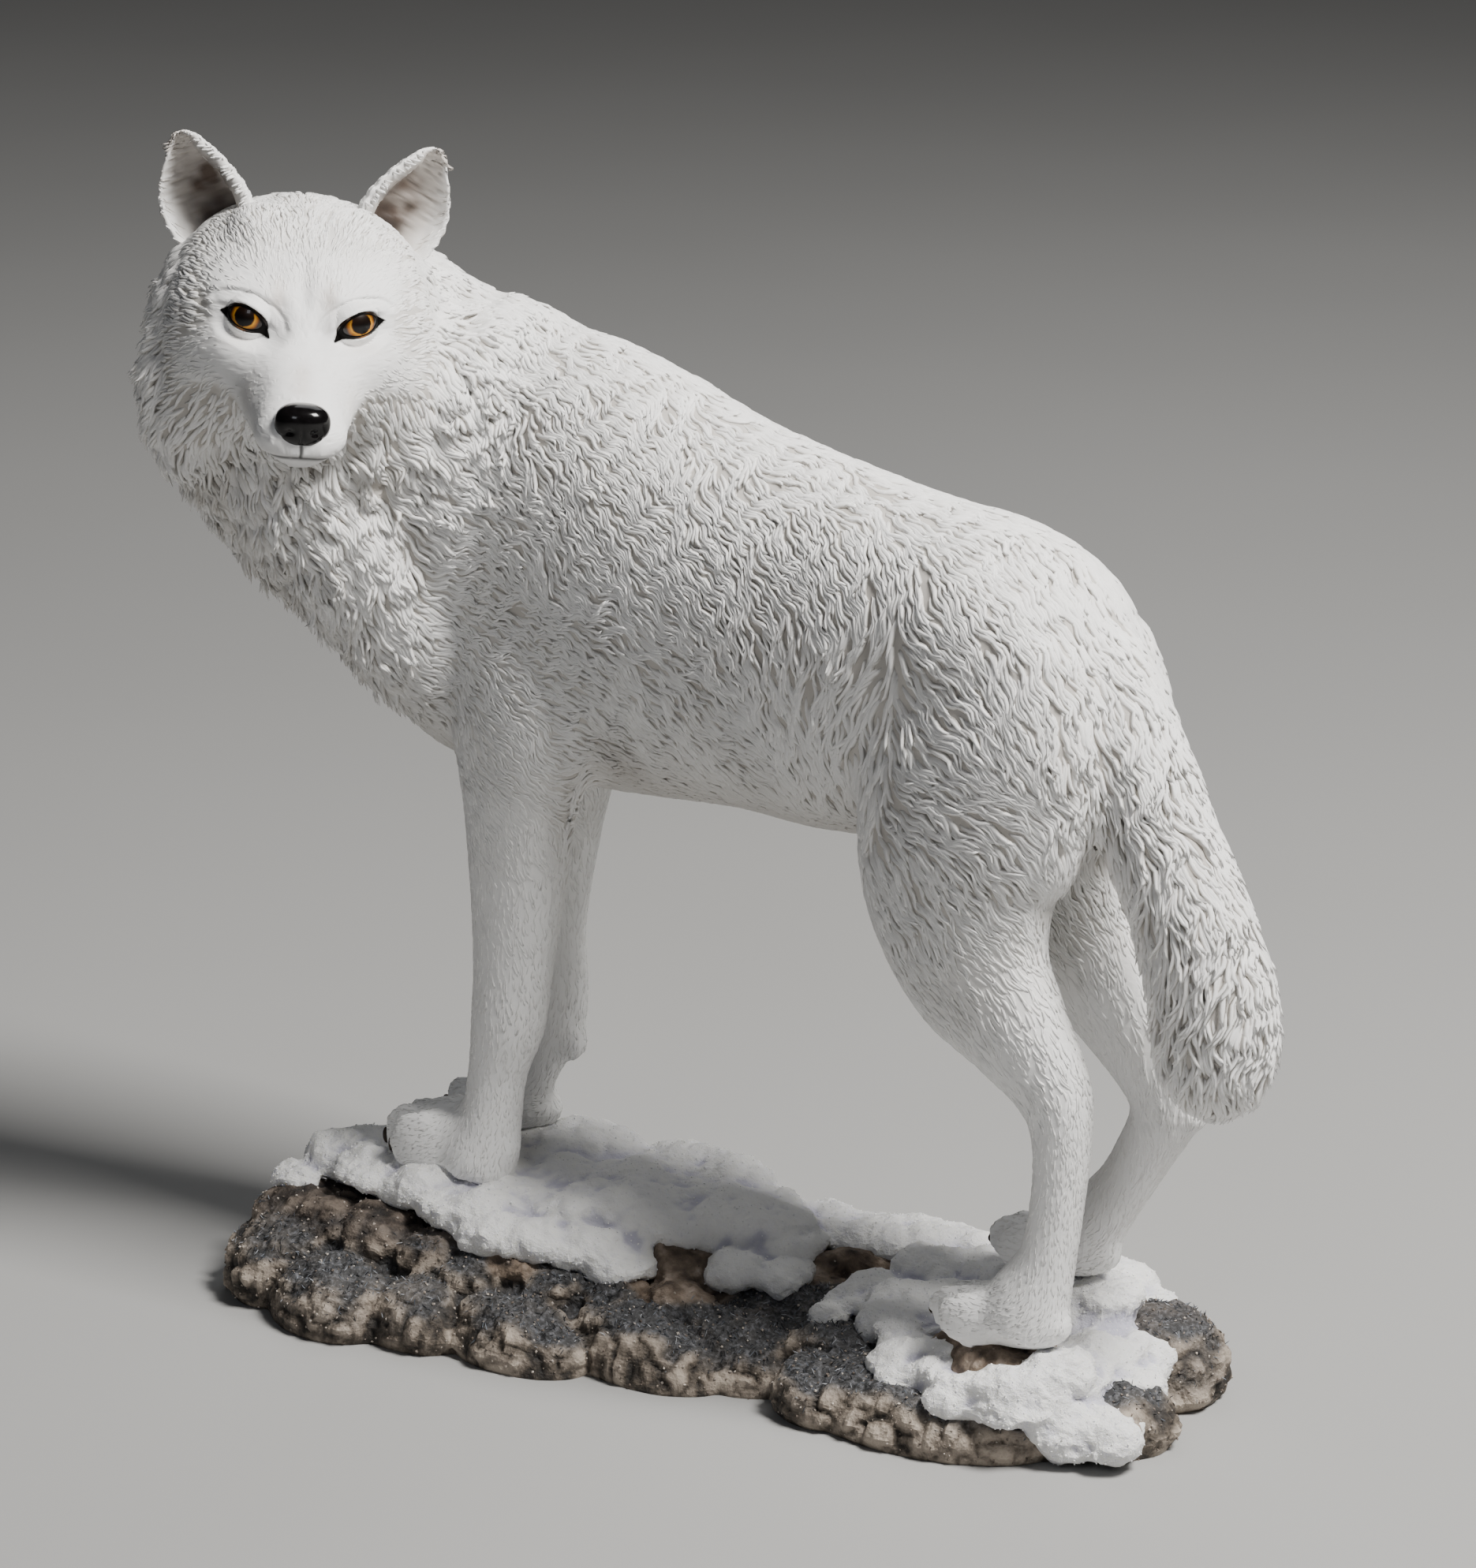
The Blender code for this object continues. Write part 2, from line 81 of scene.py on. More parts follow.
# Columns are the head's forward, left and up.
HEAD = turning(HEAD_YAW - math.pi / 2, 2) @ turning(-HEAD_LEAN, 0)
HEAD_PLACE = (middle_of("eye_left") + middle_of("eye_right")) / 2 - HEAD @ (EYE_SEAT * (1, 0, 1))
SHIFT = HEAD_PLACE - HEAD_IN_BODY  # from the body's own frame to the shared one
SIDES = ((1, "left"), (-1, "right"))


def from_head(points):
    """Points of the head's frame in the shared one."""
    return np.asarray(points, float) @ HEAD.T + HEAD_PLACE


def to_head(points):
    """Points of the shared frame in the head's."""
    return (points - HEAD_PLACE) @ HEAD


# ======== sizes of the forms, body frame
# Each row: centre x, y, z, half depth (in the plane of the bend), half width (across it).
TRUNK = (
    (-84, 0, 168, 26, 17),
    (-68, 0, 169, 44, 24),
    (-48, 0, 170.5, 50.5, 27),
    (-24, 0, 168.5, 48.5, 28.5),
    (2, 0, 164.5, 43, 27.5),
    (28, 0, 161, 40.5, 25.5),
    (50, 0, 160.5, 36.5, 26),
    (68, 0, 165, 29.5, 27),
    (82, 0, 166, 23.5, 24),
    (92, 0, 165, 17, 17),
    (98, 0, 164, 8, 8),
)
NECK = (
    (-34, 0, 177, 42, 24),
    (-60, -1, 179, 46, 28),
    (-83, -8, 189, 45.5, 32),
    (-95, -18, 203, 41, 36),
    (-97, -30, 215, 32, 35),
    (-93, -39, 224, 18, 20),
)
CHEST = (
    (-99, -30, 208, 25, 30),
    (-91.5, -26, 191, 21.5, 27),
    (-81.5, -19, 171, 20.5, 24),
    (-72, -11, 151, 18, 21),
    (-63, -5, 134, 13, 15),
    (-58, -3, 128, 6, 7),
)
FORELEG = (
    (-44, -14, 172, 22, 9),
    (-44, -16.5, 152, 21, 11),
    (-45.5, -16.5, 134, 18, 12),
    (-47.5, -15.5, 116, 14, 10.5),
    (-49, -15, 96, 11.5, 9),
    (-50.5, -15, 78, 9.5, 8),
    (-52, -15, 66, 8.8, 8),
    (-55, -15, 54, 6.8, 6.8),
    (-57, -15, 43, 7, 7.2),
    (-60, -15, 35, 9, 9),
    (-62, -15, 30, 9, 9),
)
FAR_FORELEG = (
    (-50, 14, 172, 20, 9),
    (-53, 16, 152, 19, 11),
    (-56, 16, 134, 15.5, 11.5),
    (-59, 15.5, 116, 12, 10),
    (-61.5, 15, 96, 9.8, 8.6),
    (-62.5, 15, 78, 7.8, 7.5),
    (-61.5, 15, 66, 7.5, 7.2),
    (-62.5, 15, 56, 7.2, 7),
    (-67, 15, 46, 5.9, 6),
    (-70.5, 15, 40, 6.2, 6.5),
    (-73.5, 15, 34, 7.5, 8),
    (-74.5, 15, 31, 8, 8.5),
)
HINDLEG = (
    (74, -11, 172, 22, 12),
    (74, -14.5, 154, 27, 14),
    (71, -16, 136, 27.5, 14.5),
    (69, -17, 119, 23.5, 13),
    (74, -17.5, 103, 18.5, 11),
    (84, -17.5, 91, 13, 9),
    (92.5, -17, 80, 9.2, 7.2),
    (95, -17, 70, 6.8, 6.2),
    (94.3, -17, 56, 6, 5.8),
    (92, -17, 43, 6.4, 6.2),
    (88, -17, 33, 9, 8),
    (85, -17, 27, 9.5, 9),
)
FAR_HINDLEG = (
    (74, 11, 172, 22, 12),
    (73, 14.5, 154, 27, 14),
    (70, 16, 138, 26.5, 14.5),
    (68, 16.5, 121, 22, 13),
    (75, 16.5, 104, 17, 11),
    (86, 16.5, 90, 12.5, 9),
    (96, 16.5, 77, 9.5, 7.4),
    (99.5, 16.5, 68, 8, 6.8),
    (95.5, 16.5, 59, 6.8, 6.2),
    (89, 16.5, 48, 6.4, 6.2),
    (81, 16.5, 38, 8, 8),
    (77, 16.5, 32, 9, 9),
)
TAIL = (
    (82, -1, 171, 12, 11),
    (92, -1, 163, 13, 11.5),
    (100, -2, 149, 13, 12),
    (109, -3, 133, 12.5, 12),
    (117, -3, 117, 13, 12.5),
    (122, -3, 102, 14, 12.5),
    (123, -3, 91, 13.5, 12.3),
    (121.5, -3, 82, 10.5, 10),
    (120, -3, 76.5, 4, 4),
)
# Skull and muzzle in the head's frame: forward, middle above the eye line, half height, half width.
SKULL = (
    (-30, -9, 18, 19),
    (-20, -7.5, 27.5, 29),
    (-8, -7, 29.5, 32),
    (3, -7.5, 28, 30.5),
    (11, -8.5, 23.5, 26),
    (17, -9.5, 18, 20.5),
    (22, -11, 11.5, 14),
    (26, -12, 4, 5),
)
MUZZLE = (
    (0, -12, 15, 15),
    (12, -13.5, 13.5, 13.5),
    (22, -15.2, 12.4, 12.8),
    (32, -16.8, 10.8, 11.6),
    (42, -17.5, 8.8, 10.0),
    (50, -18.2, 7.0, 8.8),
    (54.5, -18.6, 4.6, 6.3),
)
# A ruffled cheek and a low lobe of the crown on each side: middle and half sizes.
CHEEK = ((-3, 21.5, -17), (15, 11.5, 23))
CROWN = ((0, 9, 14.0), (10, 8.5, 8))
# Each paw: heel and toe on its sole, height, half width.
PAWS = (
    ((-51, -15, 30), (-84, -15, 27.5), 18, 9.4),
    ((-62, 15, 30), (-91, 15, 28), 13, 8.6),
    ((97, -17, 23), (65, -17, 21.5), 14, 8),
    ((88, 16.5, 27), (58, 16, 26), 13.5, 8),
)
TOES = ((-0.78, 0.80), (-0.28, 0.97), (0.28, 1.0), (0.78, 0.83))  # of each toe: place across the foot, reach
HOCK = ((105.5, 16.5, 68), (4.5, 4.5, 4.5))
WRIST = ((-57.5, 15, 52.5), (4, 4, 5))
NAPE = ((-66, -16, 212), (14, 14, 12.5))  # fills the fold between the cheek and the neck
NOSE = np.array((51.8, 0.0, -14.9))  # middle of the nose pad, head's frame


# ======== number tools
def unit(rows):
    """Each row divided by its own length."""
    return rows / np.maximum(np.linalg.norm(rows, axis=-1, keepdims=True), 1e-9)


def dot(a, b):
    """Dot products of two sets of rows, as a column."""
    return (a * b).sum(-1, keepdims=True)


def laid(way, normal):
    """A way laid on a surface: w - (w.n) n, one unit long."""
    return unit(way - dot(way, normal) * normal)


def swung(way, normal, angle):
    """A way turned on a surface: w cos a + (n x w) sin a."""
    return way * np.cos(angle)[:, None] + np.cross(normal, way) * np.sin(angle)[:, None]


def ease(low, high, x):
    """Rises smoothly from 0 at low to 1 at high."""
    t = np.clip((x - low) / (high - low), 0, 1)
    return t * t * (3 - 2 * t)


def bell(x, width):
    """1 at 0, falling away over the width, as exp(-(x / width)^2)."""
    return np.exp(-((x / width) ** 2))


def grain(points, size, seed):
    """Value noise from -1 to 1: a random number at each corner of a cubic lattice, blended between them."""
    at = points / size + seed * 17.31
    cell = np.floor(at).astype(np.int64)
    part = at - cell
    part = part * part * (3 - 2 * part)
    total = np.zeros(len(points))
    for corner in np.ndindex(2, 2, 2):
        key = ((cell + corner) * (73856093, 19349663, 83492791)).sum(1) + seed * 7919
        key = (key ^ (key >> 13)) * 1274126177 & 0x7FFFFFFF
        key = (key ^ (key >> 15)) * 668265263 & 0x7FFFFFFF
        share = np.where(corner, part, 1 - part).prod(1)
        total += share * ((key >> 8) / float(1 << 22) - 1)
    return total


# ======== forms as grids
def between(stations, steps):
    """Rows between the stations, on a Catmull-Rom curve through them."""
    rows = np.array(stations, float)
    padded = np.vstack([2 * rows[0] - rows[1], rows, 2 * rows[-1] - rows[-2]])
    t = (np.arange(steps) / steps)[None, :, None]
    a, b, c, d = (padded[k : len(padded) - 3 + k, None] for k in range(4))
    square, cube = 2 * a - 5 * b + 4 * c - d, 3 * b - a - 3 * c + d
    found = 0.5 * (2 * b + (c - a) * t + square * t**2 + cube * t**3)
    return np.vstack([found.reshape(-1, rows.shape[1]), rows[-1:]])


def closed_grid(rings):
    """Faces of rings joined one to the next, with the point of each end given as the last two points."""
    count, sides = rings.shape[:2]
    here = np.arange(count * sides).reshape(count, sides)
    turned = np.roll(here, -1, axis=1)
    quads = np.stack([here[:-1], here[1:], turned[1:], turned[:-1]], -1).reshape(-1, 4)
    first, last = count * sides, count * sides + 1
    start = np.stack([np.full(sides, first), here[0], turned[0]], -1)
    end = np.stack([np.full(sides, last), turned[-1], here[-1]], -1)
    return [quads, start, end]


def tube(stations, upright=False, sides=36, steps=6, least=0.8):
    """Point = centre(t) + depth(t) cos(a) deep + width(t) sin(a) side, square to the path or upright."""
    rows = between(stations, steps)
    centre = rows[:, :3]
    ahead = np.vstack([centre[1:], centre[-1:]]) - np.vstack([centre[:1], centre[:-1]])
    if upright:
        ahead[:] = (1, 0, 0)
    ahead = unit(ahead)
    across = np.array((0.0, 1.0, 0.0))
    side = unit(across - (ahead @ across)[:, None] * ahead)
    deep = np.cross(ahead, side)
    angle = np.arange(sides) * 2 * np.pi / sides
    radii = np.maximum(rows[:, 3:5], least)
    rings = (
        centre[:, None]
        + deep[:, None] * (radii[:, :1] * np.cos(angle))[..., None]
        + side[:, None] * (radii[:, 1:] * np.sin(angle))[..., None]
    )
    return np.vstack([rings.reshape(-1, 3), centre[0], centre[-1]]), closed_grid(rings)


def flipped(faces):
    """Faces turned to look the other way."""
    return [face[:, ::-1] for face in faces]


def lump(centre, size, turn=0.0, sides=28, rows=15):
    """Ellipsoid: point = centre + size x (sin b cos a, sin b sin a, -cos b), turned about the upright."""
    b = (np.arange(1, rows) / rows * np.pi)[:, None]
    a = np.arange(sides) * 2 * np.pi / sides
    ball = np.stack([np.sin(b) * np.cos(a), np.sin(b) * np.sin(a), -np.cos(b) + 0 * a], -1)
    points = np.vstack([ball.reshape(-1, 3), (0, 0, -1), (0, 0, 1)]) * size
    return points @ turning(turn, 2).T + centre, flipped(closed_grid(ball))


def foot_frame(foot):
    """A foot's heel, the way from heel to toe, its yaw, and the way across to half its width."""
    heel, toe, _, half_width = foot
    heel = np.array(heel, float)
    along = np.array(toe, float) - heel
    yaw = math.atan2(along[1], along[0])
    return heel, along, yaw, np.array((-math.sin(yaw), math.cos(yaw), 0)) * half_width


def paw(foot):
    """A foot from heel to toe: one pad and four toes spread round its front, as ellipsoids."""
    heel, along, yaw, across = foot_frame(foot)
    *_, height, half_width = foot
    reach = np.linalg.norm(along)
    middle = heel + 0.42 * along + (0, 0, 0.42 * height)
    found = [lump(middle, (0.46 * reach, 0.85 * half_width, 0.5 * height), yaw)]
    for place, far in TOES:
        centre = heel + (far - 0.2) * along + place * across + (0, 0, 0.38 * height)
        found.append(lump(centre, (0.25 * reach, 0.3 * half_width, 0.45 * height), yaw + 0.25 * place))
    return found


def joined(shapes):
    """Several (points, faces) as one."""
    start = np.cumsum([0] + [len(points) for points, _ in shapes])
    faces = [face + first for first, (_, found) in zip(start, shapes) for face in found]
    return np.vstack([points for points, _ in shapes]), faces


# ======== meshes
def new_piece(name, points, faces, smooth=True):
    """An object at the origin from points in millimetres and arrays of faces with 3 or 4 corners each."""
    mesh = bpy.data.meshes.new(name)
    mesh.vertices.add(len(points))
    mesh.vertices.foreach_set("co", (np.asarray(points) * MM).astype(np.float32).ravel())
    corners = np.concatenate([face.ravel() for face in faces]).astype(np.int32)
    sizes = np.concatenate([np.full(len(face), face.shape[1]) for face in faces])
    mesh.loops.add(len(corners))
    mesh.loops.foreach_set("vertex_index", corners)
    mesh.polygons.add(len(sizes))
    mesh.polygons.foreach_set("loop_start", (np.cumsum(sizes) - sizes).astype(np.int32))
    mesh.update(calc_edges=True)
    mesh.polygons.foreach_set("use_smooth", np.full(len(mesh.polygons), smooth))
    piece = bpy.data.objects.new(name, mesh)
    bpy.context.scene.collection.objects.link(piece)
    return piece


def read(holder, field, width, kind=np.float32):
    """A field of a mesh's elements as an array with one row for each."""
    found = np.empty(len(holder) * width, kind)
    holder.foreach_get(field, found)
    return found.reshape(-1, width) if width > 1 else found


def put(piece, **marks):
    """Float or colour attributes on the points of a piece."""
    for name, values in marks.items():
        values = np.asarray(values, np.float32)
        kind, field = "FLOAT", "value"
        if values.ndim == 2:
            kind, field = "FLOAT_COLOR", "color"
            values = np.hstack([values, np.ones((len(values), 1), np.float32)])
        piece.data.attributes.new(name, kind, "POINT").data.foreach_set(field, values.ravel())


def dressed(piece, material, slot, *nodes):
    """Paint a piece, fix it to the figure and hide the nodes that it stands for."""
    piece.data.materials.append(material)
    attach(piece, "root")
    if nodes:
        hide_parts(*nodes)


def fused(name, shapes, voxel, rounds):
    """One closed skin round all the shapes: a voxel remesh, softened by this many rounds of averaging."""
    piece = new_piece(name, *joined(shapes))
    remesh = piece.modifiers.new("one skin", "REMESH")
    remesh.mode = "VOXEL"
    remesh.voxel_size = voxel * MM
    soften = piece.modifiers.new("soften", "SMOOTH")
    soften.factor = 0.5
    soften.iterations = rounds
    graph = bpy.context.evaluated_depsgraph_get()
    mesh = bpy.data.meshes.new_from_object(piece.evaluated_get(graph))
    piece.modifiers.clear()
    piece.data = mesh
    return piece


def finer(piece, chosen):
    """Split each face whose middle is chosen into four."""
    mesh = piece.data
    middles = read(mesh.polygons, "center", 3) / MM
    bm = bmesh.new()
    bm.from_mesh(mesh)
    bm.faces.ensure_lookup_table()
    edges = {edge for index in np.flatnonzero(chosen(middles)) for edge in bm.faces[index].edges}
    bmesh.ops.subdivide_edges(bm, edges=list(edges), cuts=1, use_grid_fill=True)
    bm.to_mesh(mesh)
    bm.free()


MOST_NEAR = 8  # neighbours kept of each point, after itself


def surface_of(piece):
    """A piece's points, normals, neighbours and area round each point, as arrays in millimetres."""
    mesh = piece.data
    points = read(mesh.vertices, "co", 3).astype(float) / MM
    edges = read(mesh.edges, "vertices", 2, np.int32)
    ends = np.vstack([edges, edges[:, ::-1]])
    ends = ends[np.argsort(ends[:, 0], kind="stable")]
    count = np.bincount(ends[:, 0], minlength=len(points))
    place = np.arange(len(ends)) - np.repeat(np.cumsum(count) - count, count)
    near = np.repeat(np.arange(len(points))[:, None], MOST_NEAR + 1, axis=1)
    kept = place < MOST_NEAR
    near[ends[kept, 0], place[kept] + 1] = ends[kept, 1]
    count = np.minimum(count, MOST_NEAR)
    found = SimpleNamespace(points=points, near=near, count=count[:, None], mesh=mesh)
    refresh(found)
    span = ((points[near[:, 1:]] - points[:, None]) ** 2).sum(2)
    found.area = span.sum(1) / np.maximum(count, 1)
    return found


def refresh(surface):
    """Put a surface's points back into its mesh and read its normals."""
    surface.mesh.vertices.foreach_set("co", (surface.points * MM).astype(np.float32).ravel())
    surface.mesh.update()
    surface.normals = read(surface.mesh.vertex_normals, "vector", 3).astype(float)


def averaged(surface, values, rounds, share):
    """Values drawn towards the mean of their neighbours, by a share that may differ from point to point."""
    near, count = surface.near[:, 1:], surface.count
    for _ in range(rounds):
        mean = (values[near].sum(1) - (MOST_NEAR - count) * values) / np.maximum(count, 1)
        values = values + share * (mean - values)
    return values


# ======== the lie of the coat
# Each row: place, way the hair lies, a lock's length and breadth, depth of the coat, swing in degrees.
COAT_BOTH_SIDES = (
    ((-70, -7, 222), (1, -0.1, -0.3), 9, 1.9, 1.06, 38),
    ((-40, -7, 218), (1, -0.15, -0.3), 9, 1.6, 1, 52),
    ((-5, -7, 209), (1, -0.2, -0.3), 8.5, 1.6, 1, 52),
    ((30, -7, 200), (1, -0.2, -0.4), 8.5, 1.6, 1, 50),
    ((60, -7, 195), (1, -0.15, -0.5), 9, 1.6, 1, 46),
    ((85, -6, 186), (0.7, -0.2, -0.9), 10, 1.9, 1, 36),
    ((-30, -23, 197), (0.9, -0.2, -0.7), 8.5, 1.5, 1, 52),
    ((0, -23, 190), (0.8, -0.15, -0.9), 8, 1.4, 1, 50),
    ((30, -21, 184), (0.6, -0.15, -1), 8, 1.4, 1, 48),
    ((60, -21, 182), (0.6, -0.1, -1), 10, 1.7, 1.06, 42),
    ((85, -18, 172), (0.6, -0.1, -1), 10, 1.8, 1.06, 38),
    ((-55, -28, 172), (1, 0, -0.35), 6.5, 1.25, 0.81, 46),
    ((-25, -29, 168), (1, 0, -0.55), 7, 1.3, 0.87, 48),
    ((5, -28, 163), (0.8, 0, -0.85), 7.5, 1.35, 0.93, 48),
    ((32, -26, 160), (0.2, 0, -1), 8.5, 1.5, 1, 44),
    ((48, -27, 160), (-0.3, 0, -1), 10, 1.8, 1.12, 36),
    ((66, -28, 158), (0.9, 0, -0.6), 11, 1.8, 1.06, 42),
    ((88, -19, 150), (0.4, 0, -1), 10, 1.7, 1, 35),
    ((-50, -28, 148), (1, 0, -0.4), 5.5, 1.1, 0.69, 42),
    ((-20, -24, 140), (1, 0.1, -0.45), 6.5, 1.25, 0.75, 42),
    ((10, -22, 137), (0.8, 0.15, -0.7), 7.5, 1.4, 0.87, 38),
    ((36, -20, 137), (0.2, 0.1, -1), 8, 1.5, 0.93, 36),
    ((-30, -5, 121), (1, 0, -0.1), 7, 1.4, 0.81, 28),
    ((5, -5, 122), (1, 0, 0), 7, 1.4, 0.81, 28),
    ((38, -5, 126), (1, 0, 0.1), 7, 1.4, 0.81, 28),
    ((-46, -27, 130), (0.9, 0, -0.7), 5, 1.0, 0.53, 36),
    ((-49, -24, 112), (0.5, 0, -1), 4.0, 0.8, 0.4, 26),
    ((-52, -22, 92), (0.15, 0, -1), 3.7, 0.7, 0.3, 18),
    ((-54, -22, 70), (0, 0, -1), 3.5, 0.66, 0.26, 12),
    ((-59, -20, 50), (-0.15, 0, -1), 3.1, 0.6, 0.18, 8),
    ((-76, -15, 38), (-1, 0, -0.35), 2.3, 0.45, 0.05, 4),
    ((68, -31, 138), (1, 0, -0.5), 10.5, 1.8, 1, 42),
    ((84, -27, 138), (0.8, 0, -0.8), 9.5, 1.7, 0.93, 38),
    ((47, -28, 140), (-0.25, 0, -1), 9, 1.7, 1, 36),
    ((66, -29, 120), (0.8, 0, -0.8), 8, 1.4, 0.81, 34),
    ((78, -27, 104), (0.75, 0, -0.75), 5, 1.0, 0.5, 20),
    ((90, -24, 86), (0.55, 0, -0.85), 4.0, 0.78, 0.33, 16),
    ((95, -22, 70), (0.1, 0, -1), 3.5, 0.66, 0.25, 12),
    ((92, -22, 50), (-0.15, 0, -1), 3.2, 0.62, 0.22, 10),
    ((76, -17, 31), (-1, 0, -0.2), 2.3, 0.45, 0.05, 4),
    ((94, -12, 135), (0.1, 0, -1), 7.5, 1.4, 0.75, 25),
)
COAT_ONE_SIDE = (
    ((94, -8, 170), (0.6, 0, -0.8), 11, 1.8, 1.12, 32),
    ((94, 6, 170), (0.6, 0, -0.8), 11, 1.8, 1.12, 32),
    ((112, -12, 140), (0.45, 0, -0.9), 11, 1.6, 1.18, 36),
    ((112, 8, 140), (0.45, 0, -0.9), 11, 1.6, 1.18, 36),
    ((122, -13, 112), (0.25, 0, -1), 10.5, 1.6, 1.24, 38),
    ((122, 9, 112), (0.25, 0, -1), 10.5, 1.6, 1.24, 38),
    ((134, -3, 90), (0.1, 0, -1), 9, 1.6, 1.31, 38),
    ((112, -3, 90), (-0.05, 0, -1), 9, 1.6, 1.31, 38),
    ((119, -3, 70), (-0.2, 0, -0.8), 7, 1.7, 1.31, 30),
    ((-112, -28, 206), (0.1, 0.2, -1), 9.36, 2.5, 1.55, 30),
    ((-100, -46, 192), (0.25, 0.1, -1), 10.1, 2.6, 1.8, 32),
    ((-84, -50, 200), (0.4, 0, -1), 10.1, 2.5, 1.68, 34),
    ((-95, -36, 172), (0.35, 0.2, -1), 9.36, 2.4, 1.62, 32),
    ((-82, -28, 152), (0.5, 0.2, -0.9), 7.8, 2.1, 1.31, 30),
    ((-68, -12, 132), (0.6, 0.1, -0.8), 6.24, 1.6, 0.93, 25),
    ((-72, -38, 205), (0.8, -0.1, -0.8), 10.1, 2.3, 1.31, 38),
    ((-66, -34, 185), (0.65, 0, -1), 10.1, 2.1, 1.24, 38),
    ((-70, -32, 168), (0.6, 0.1, -1), 8.58, 1.9, 1.12, 34),
    ((-110, 4, 200), (0.4, 0.3, -1), 9.36, 2.5, 1.55, 32),
    ((-100, 10, 180), (0.5, 0.2, -1), 9.36, 2.4, 1.55, 32),
    ((-86, 8, 155), (0.6, 0.1, -0.9), 7.8, 2.1, 1.31, 30),
    ((-84, 24, 200), (0.8, 0.3, -0.8), 10.1, 2.2, 1.24, 38),
    ((-70, 26, 180), (0.7, 0.1, -1), 9.36, 2.1, 1.18, 38),
)
# The same, in the head's frame and for both sides.
COAT_OF_HEAD = (
    ((51, 3, -10), (-1, 0.15, 0.3), 1.6, 0.45, 0.04, 2),
    ((44, 3, -9), (-1, 0.15, 0.3), 2.0, 0.5, 0.05, 3),
    ((32, 3, -5), (-1, 0.2, 0.4), 2.4, 0.55, 0.06, 4),
    ((23, 4, 2), (-0.7, 0.25, 0.8), 2.6, 0.6, 0.08, 6),
    ((16, 5, 11), (-0.8, 0.15, 0.8), 3.0, 0.75, 0.35, 12),
    ((10, 7, 16), (-1, 0.2, 0.5), 3.4, 0.85, 0.56, 16),
    ((2, 8, 20), (-1, 0.3, 0.3), 4, 1.1, 0.72, 20),
    ((-18, 9, 18), (-0.6, 0.6, -0.6), 8, 1.7, 0.93, 28),
    ((16, 15, 6), (-0.7, 0.8, 0.4), 2.8, 0.7, 0.2, 8),
    ((18, 14, -7), (-0.7, 0.8, -0.2), 2.4, 0.6, 0.08, 5),
    ((24, 9, -6), (-0.9, 0.5, 0.1), 2.2, 0.55, 0.06, 4),
    ((14, 19, -10), (-0.8, 0.7, -0.4), 3.4, 0.8, 0.3, 12),
    ((10, 23, -2), (-0.8, 0.6, 0.0), 5, 1.2, 0.75, 16),
    ((15, 17, -20), (-0.6, 0.5, -1), 6.5, 1.5, 0.95, 20),
    ((42, 10, -17), (-1, 0.3, -0.1), 1.8, 0.5, 0.05, 3),
    ((30, 11, -14), (-1, 0.4, -0.1), 2.2, 0.55, 0.08, 4),
    ((30, 9, -24), (-0.8, 0.3, -0.6), 2.8, 0.8, 0.3, 8),
    ((47, 3, -25), (-0.7, 0.1, -0.8), 2.2, 0.6, 0.12, 4),
    ((38, 4, -28), (-0.9, 0.2, -0.5), 3.5, 0.9, 0.35, 8),
    ((22, 6, -31), (-0.4, 0.1, -1), 7.5, 2.1, 1.3, 28),
    ((-4, 30, -2), (-0.4, 0.8, -0.6), 7, 1.7, 1.25, 26),
    ((0, 34, -13), (-0.3, 0.6, -1), 8, 2.0, 1.4, 32),
    ((-20, 26, 4), (-0.3, 0.7, -0.8), 8, 1.9, 1.2, 28),
)


def anchors():
    """The coat's tables as one array in the shared frame: place, way, and the four sizes."""
    rows = []
    for table, sides in ((COAT_BOTH_SIDES, (1, -1)), (COAT_ONE_SIDE, (1,)), (COAT_OF_HEAD, (1, -1))):
        for place, way, *sizes in table:
            for side in sides:
                mirror = np.array((1, side, 1))
                place_here, way_here = mirror * place, unit(mirror * np.array(way, float))
                if table is COAT_OF_HEAD:
                    place_here, way_here = from_head(place_here), HEAD @ way_here
                else:
                    place_here = place_here + SHIFT
                rows.append((*place_here, *way_here, *sizes))
    return np.array(rows)


BATCH = 20000  # points worked out at a time


def coat_at(points, table):
    """Way, length, breadth, depth and swing at each point: the table's mean by weights 1 / (d^2 + 20)^3."""
    found = np.empty((len(points), 7))
    for start in range(0, len(points), BATCH):
        part = slice(start, start + BATCH)
        gap = ((points[part, None] - table[:, :3]) ** 2).sum(2)
        weight = 1 / (gap + 20.0) ** 3
        found[part] = weight @ table[:, 3:] / weight.sum(1, keepdims=True)
    return found


WAVE = 5.2  # from one bend of the hair to the next but one


def lay_coat(surface, table):
    """Give a surface its coat's sizes and lie, swung by swing x (0.6 sin(2 pi s / WAVE + noise) + noise).

    Hair lies back and down all over, so s is the distance back and down.
    """
    found = coat_at(surface.points, table)
    surface.length, surface.breadth, surface.depth, swing = found[:, 3:].T
    p = surface.points
    back = 0.8 * p[:, 0] - 0.6 * p[:, 2]
    phase = back * 2 * np.pi / WAVE + 3.6 * grain(p, 12.0, 11) + 2.0 * grain(p, 5.0, 12)
    turn = np.radians(swing) * (0.6 * np.sin(phase) + 0.7 * grain(p, 5.5, 13) + 0.4 * grain(p, 14.0, 14))
    surface.straight = laid(found[:, :3], surface.normals)
    surface.way = swung(surface.straight, surface.normals, turn)


# ======== locks of hair
MORTON_CELL, MORTON_BITS = 1.1, 9  # side of a cell, and bits for each axis: 563 mm in all


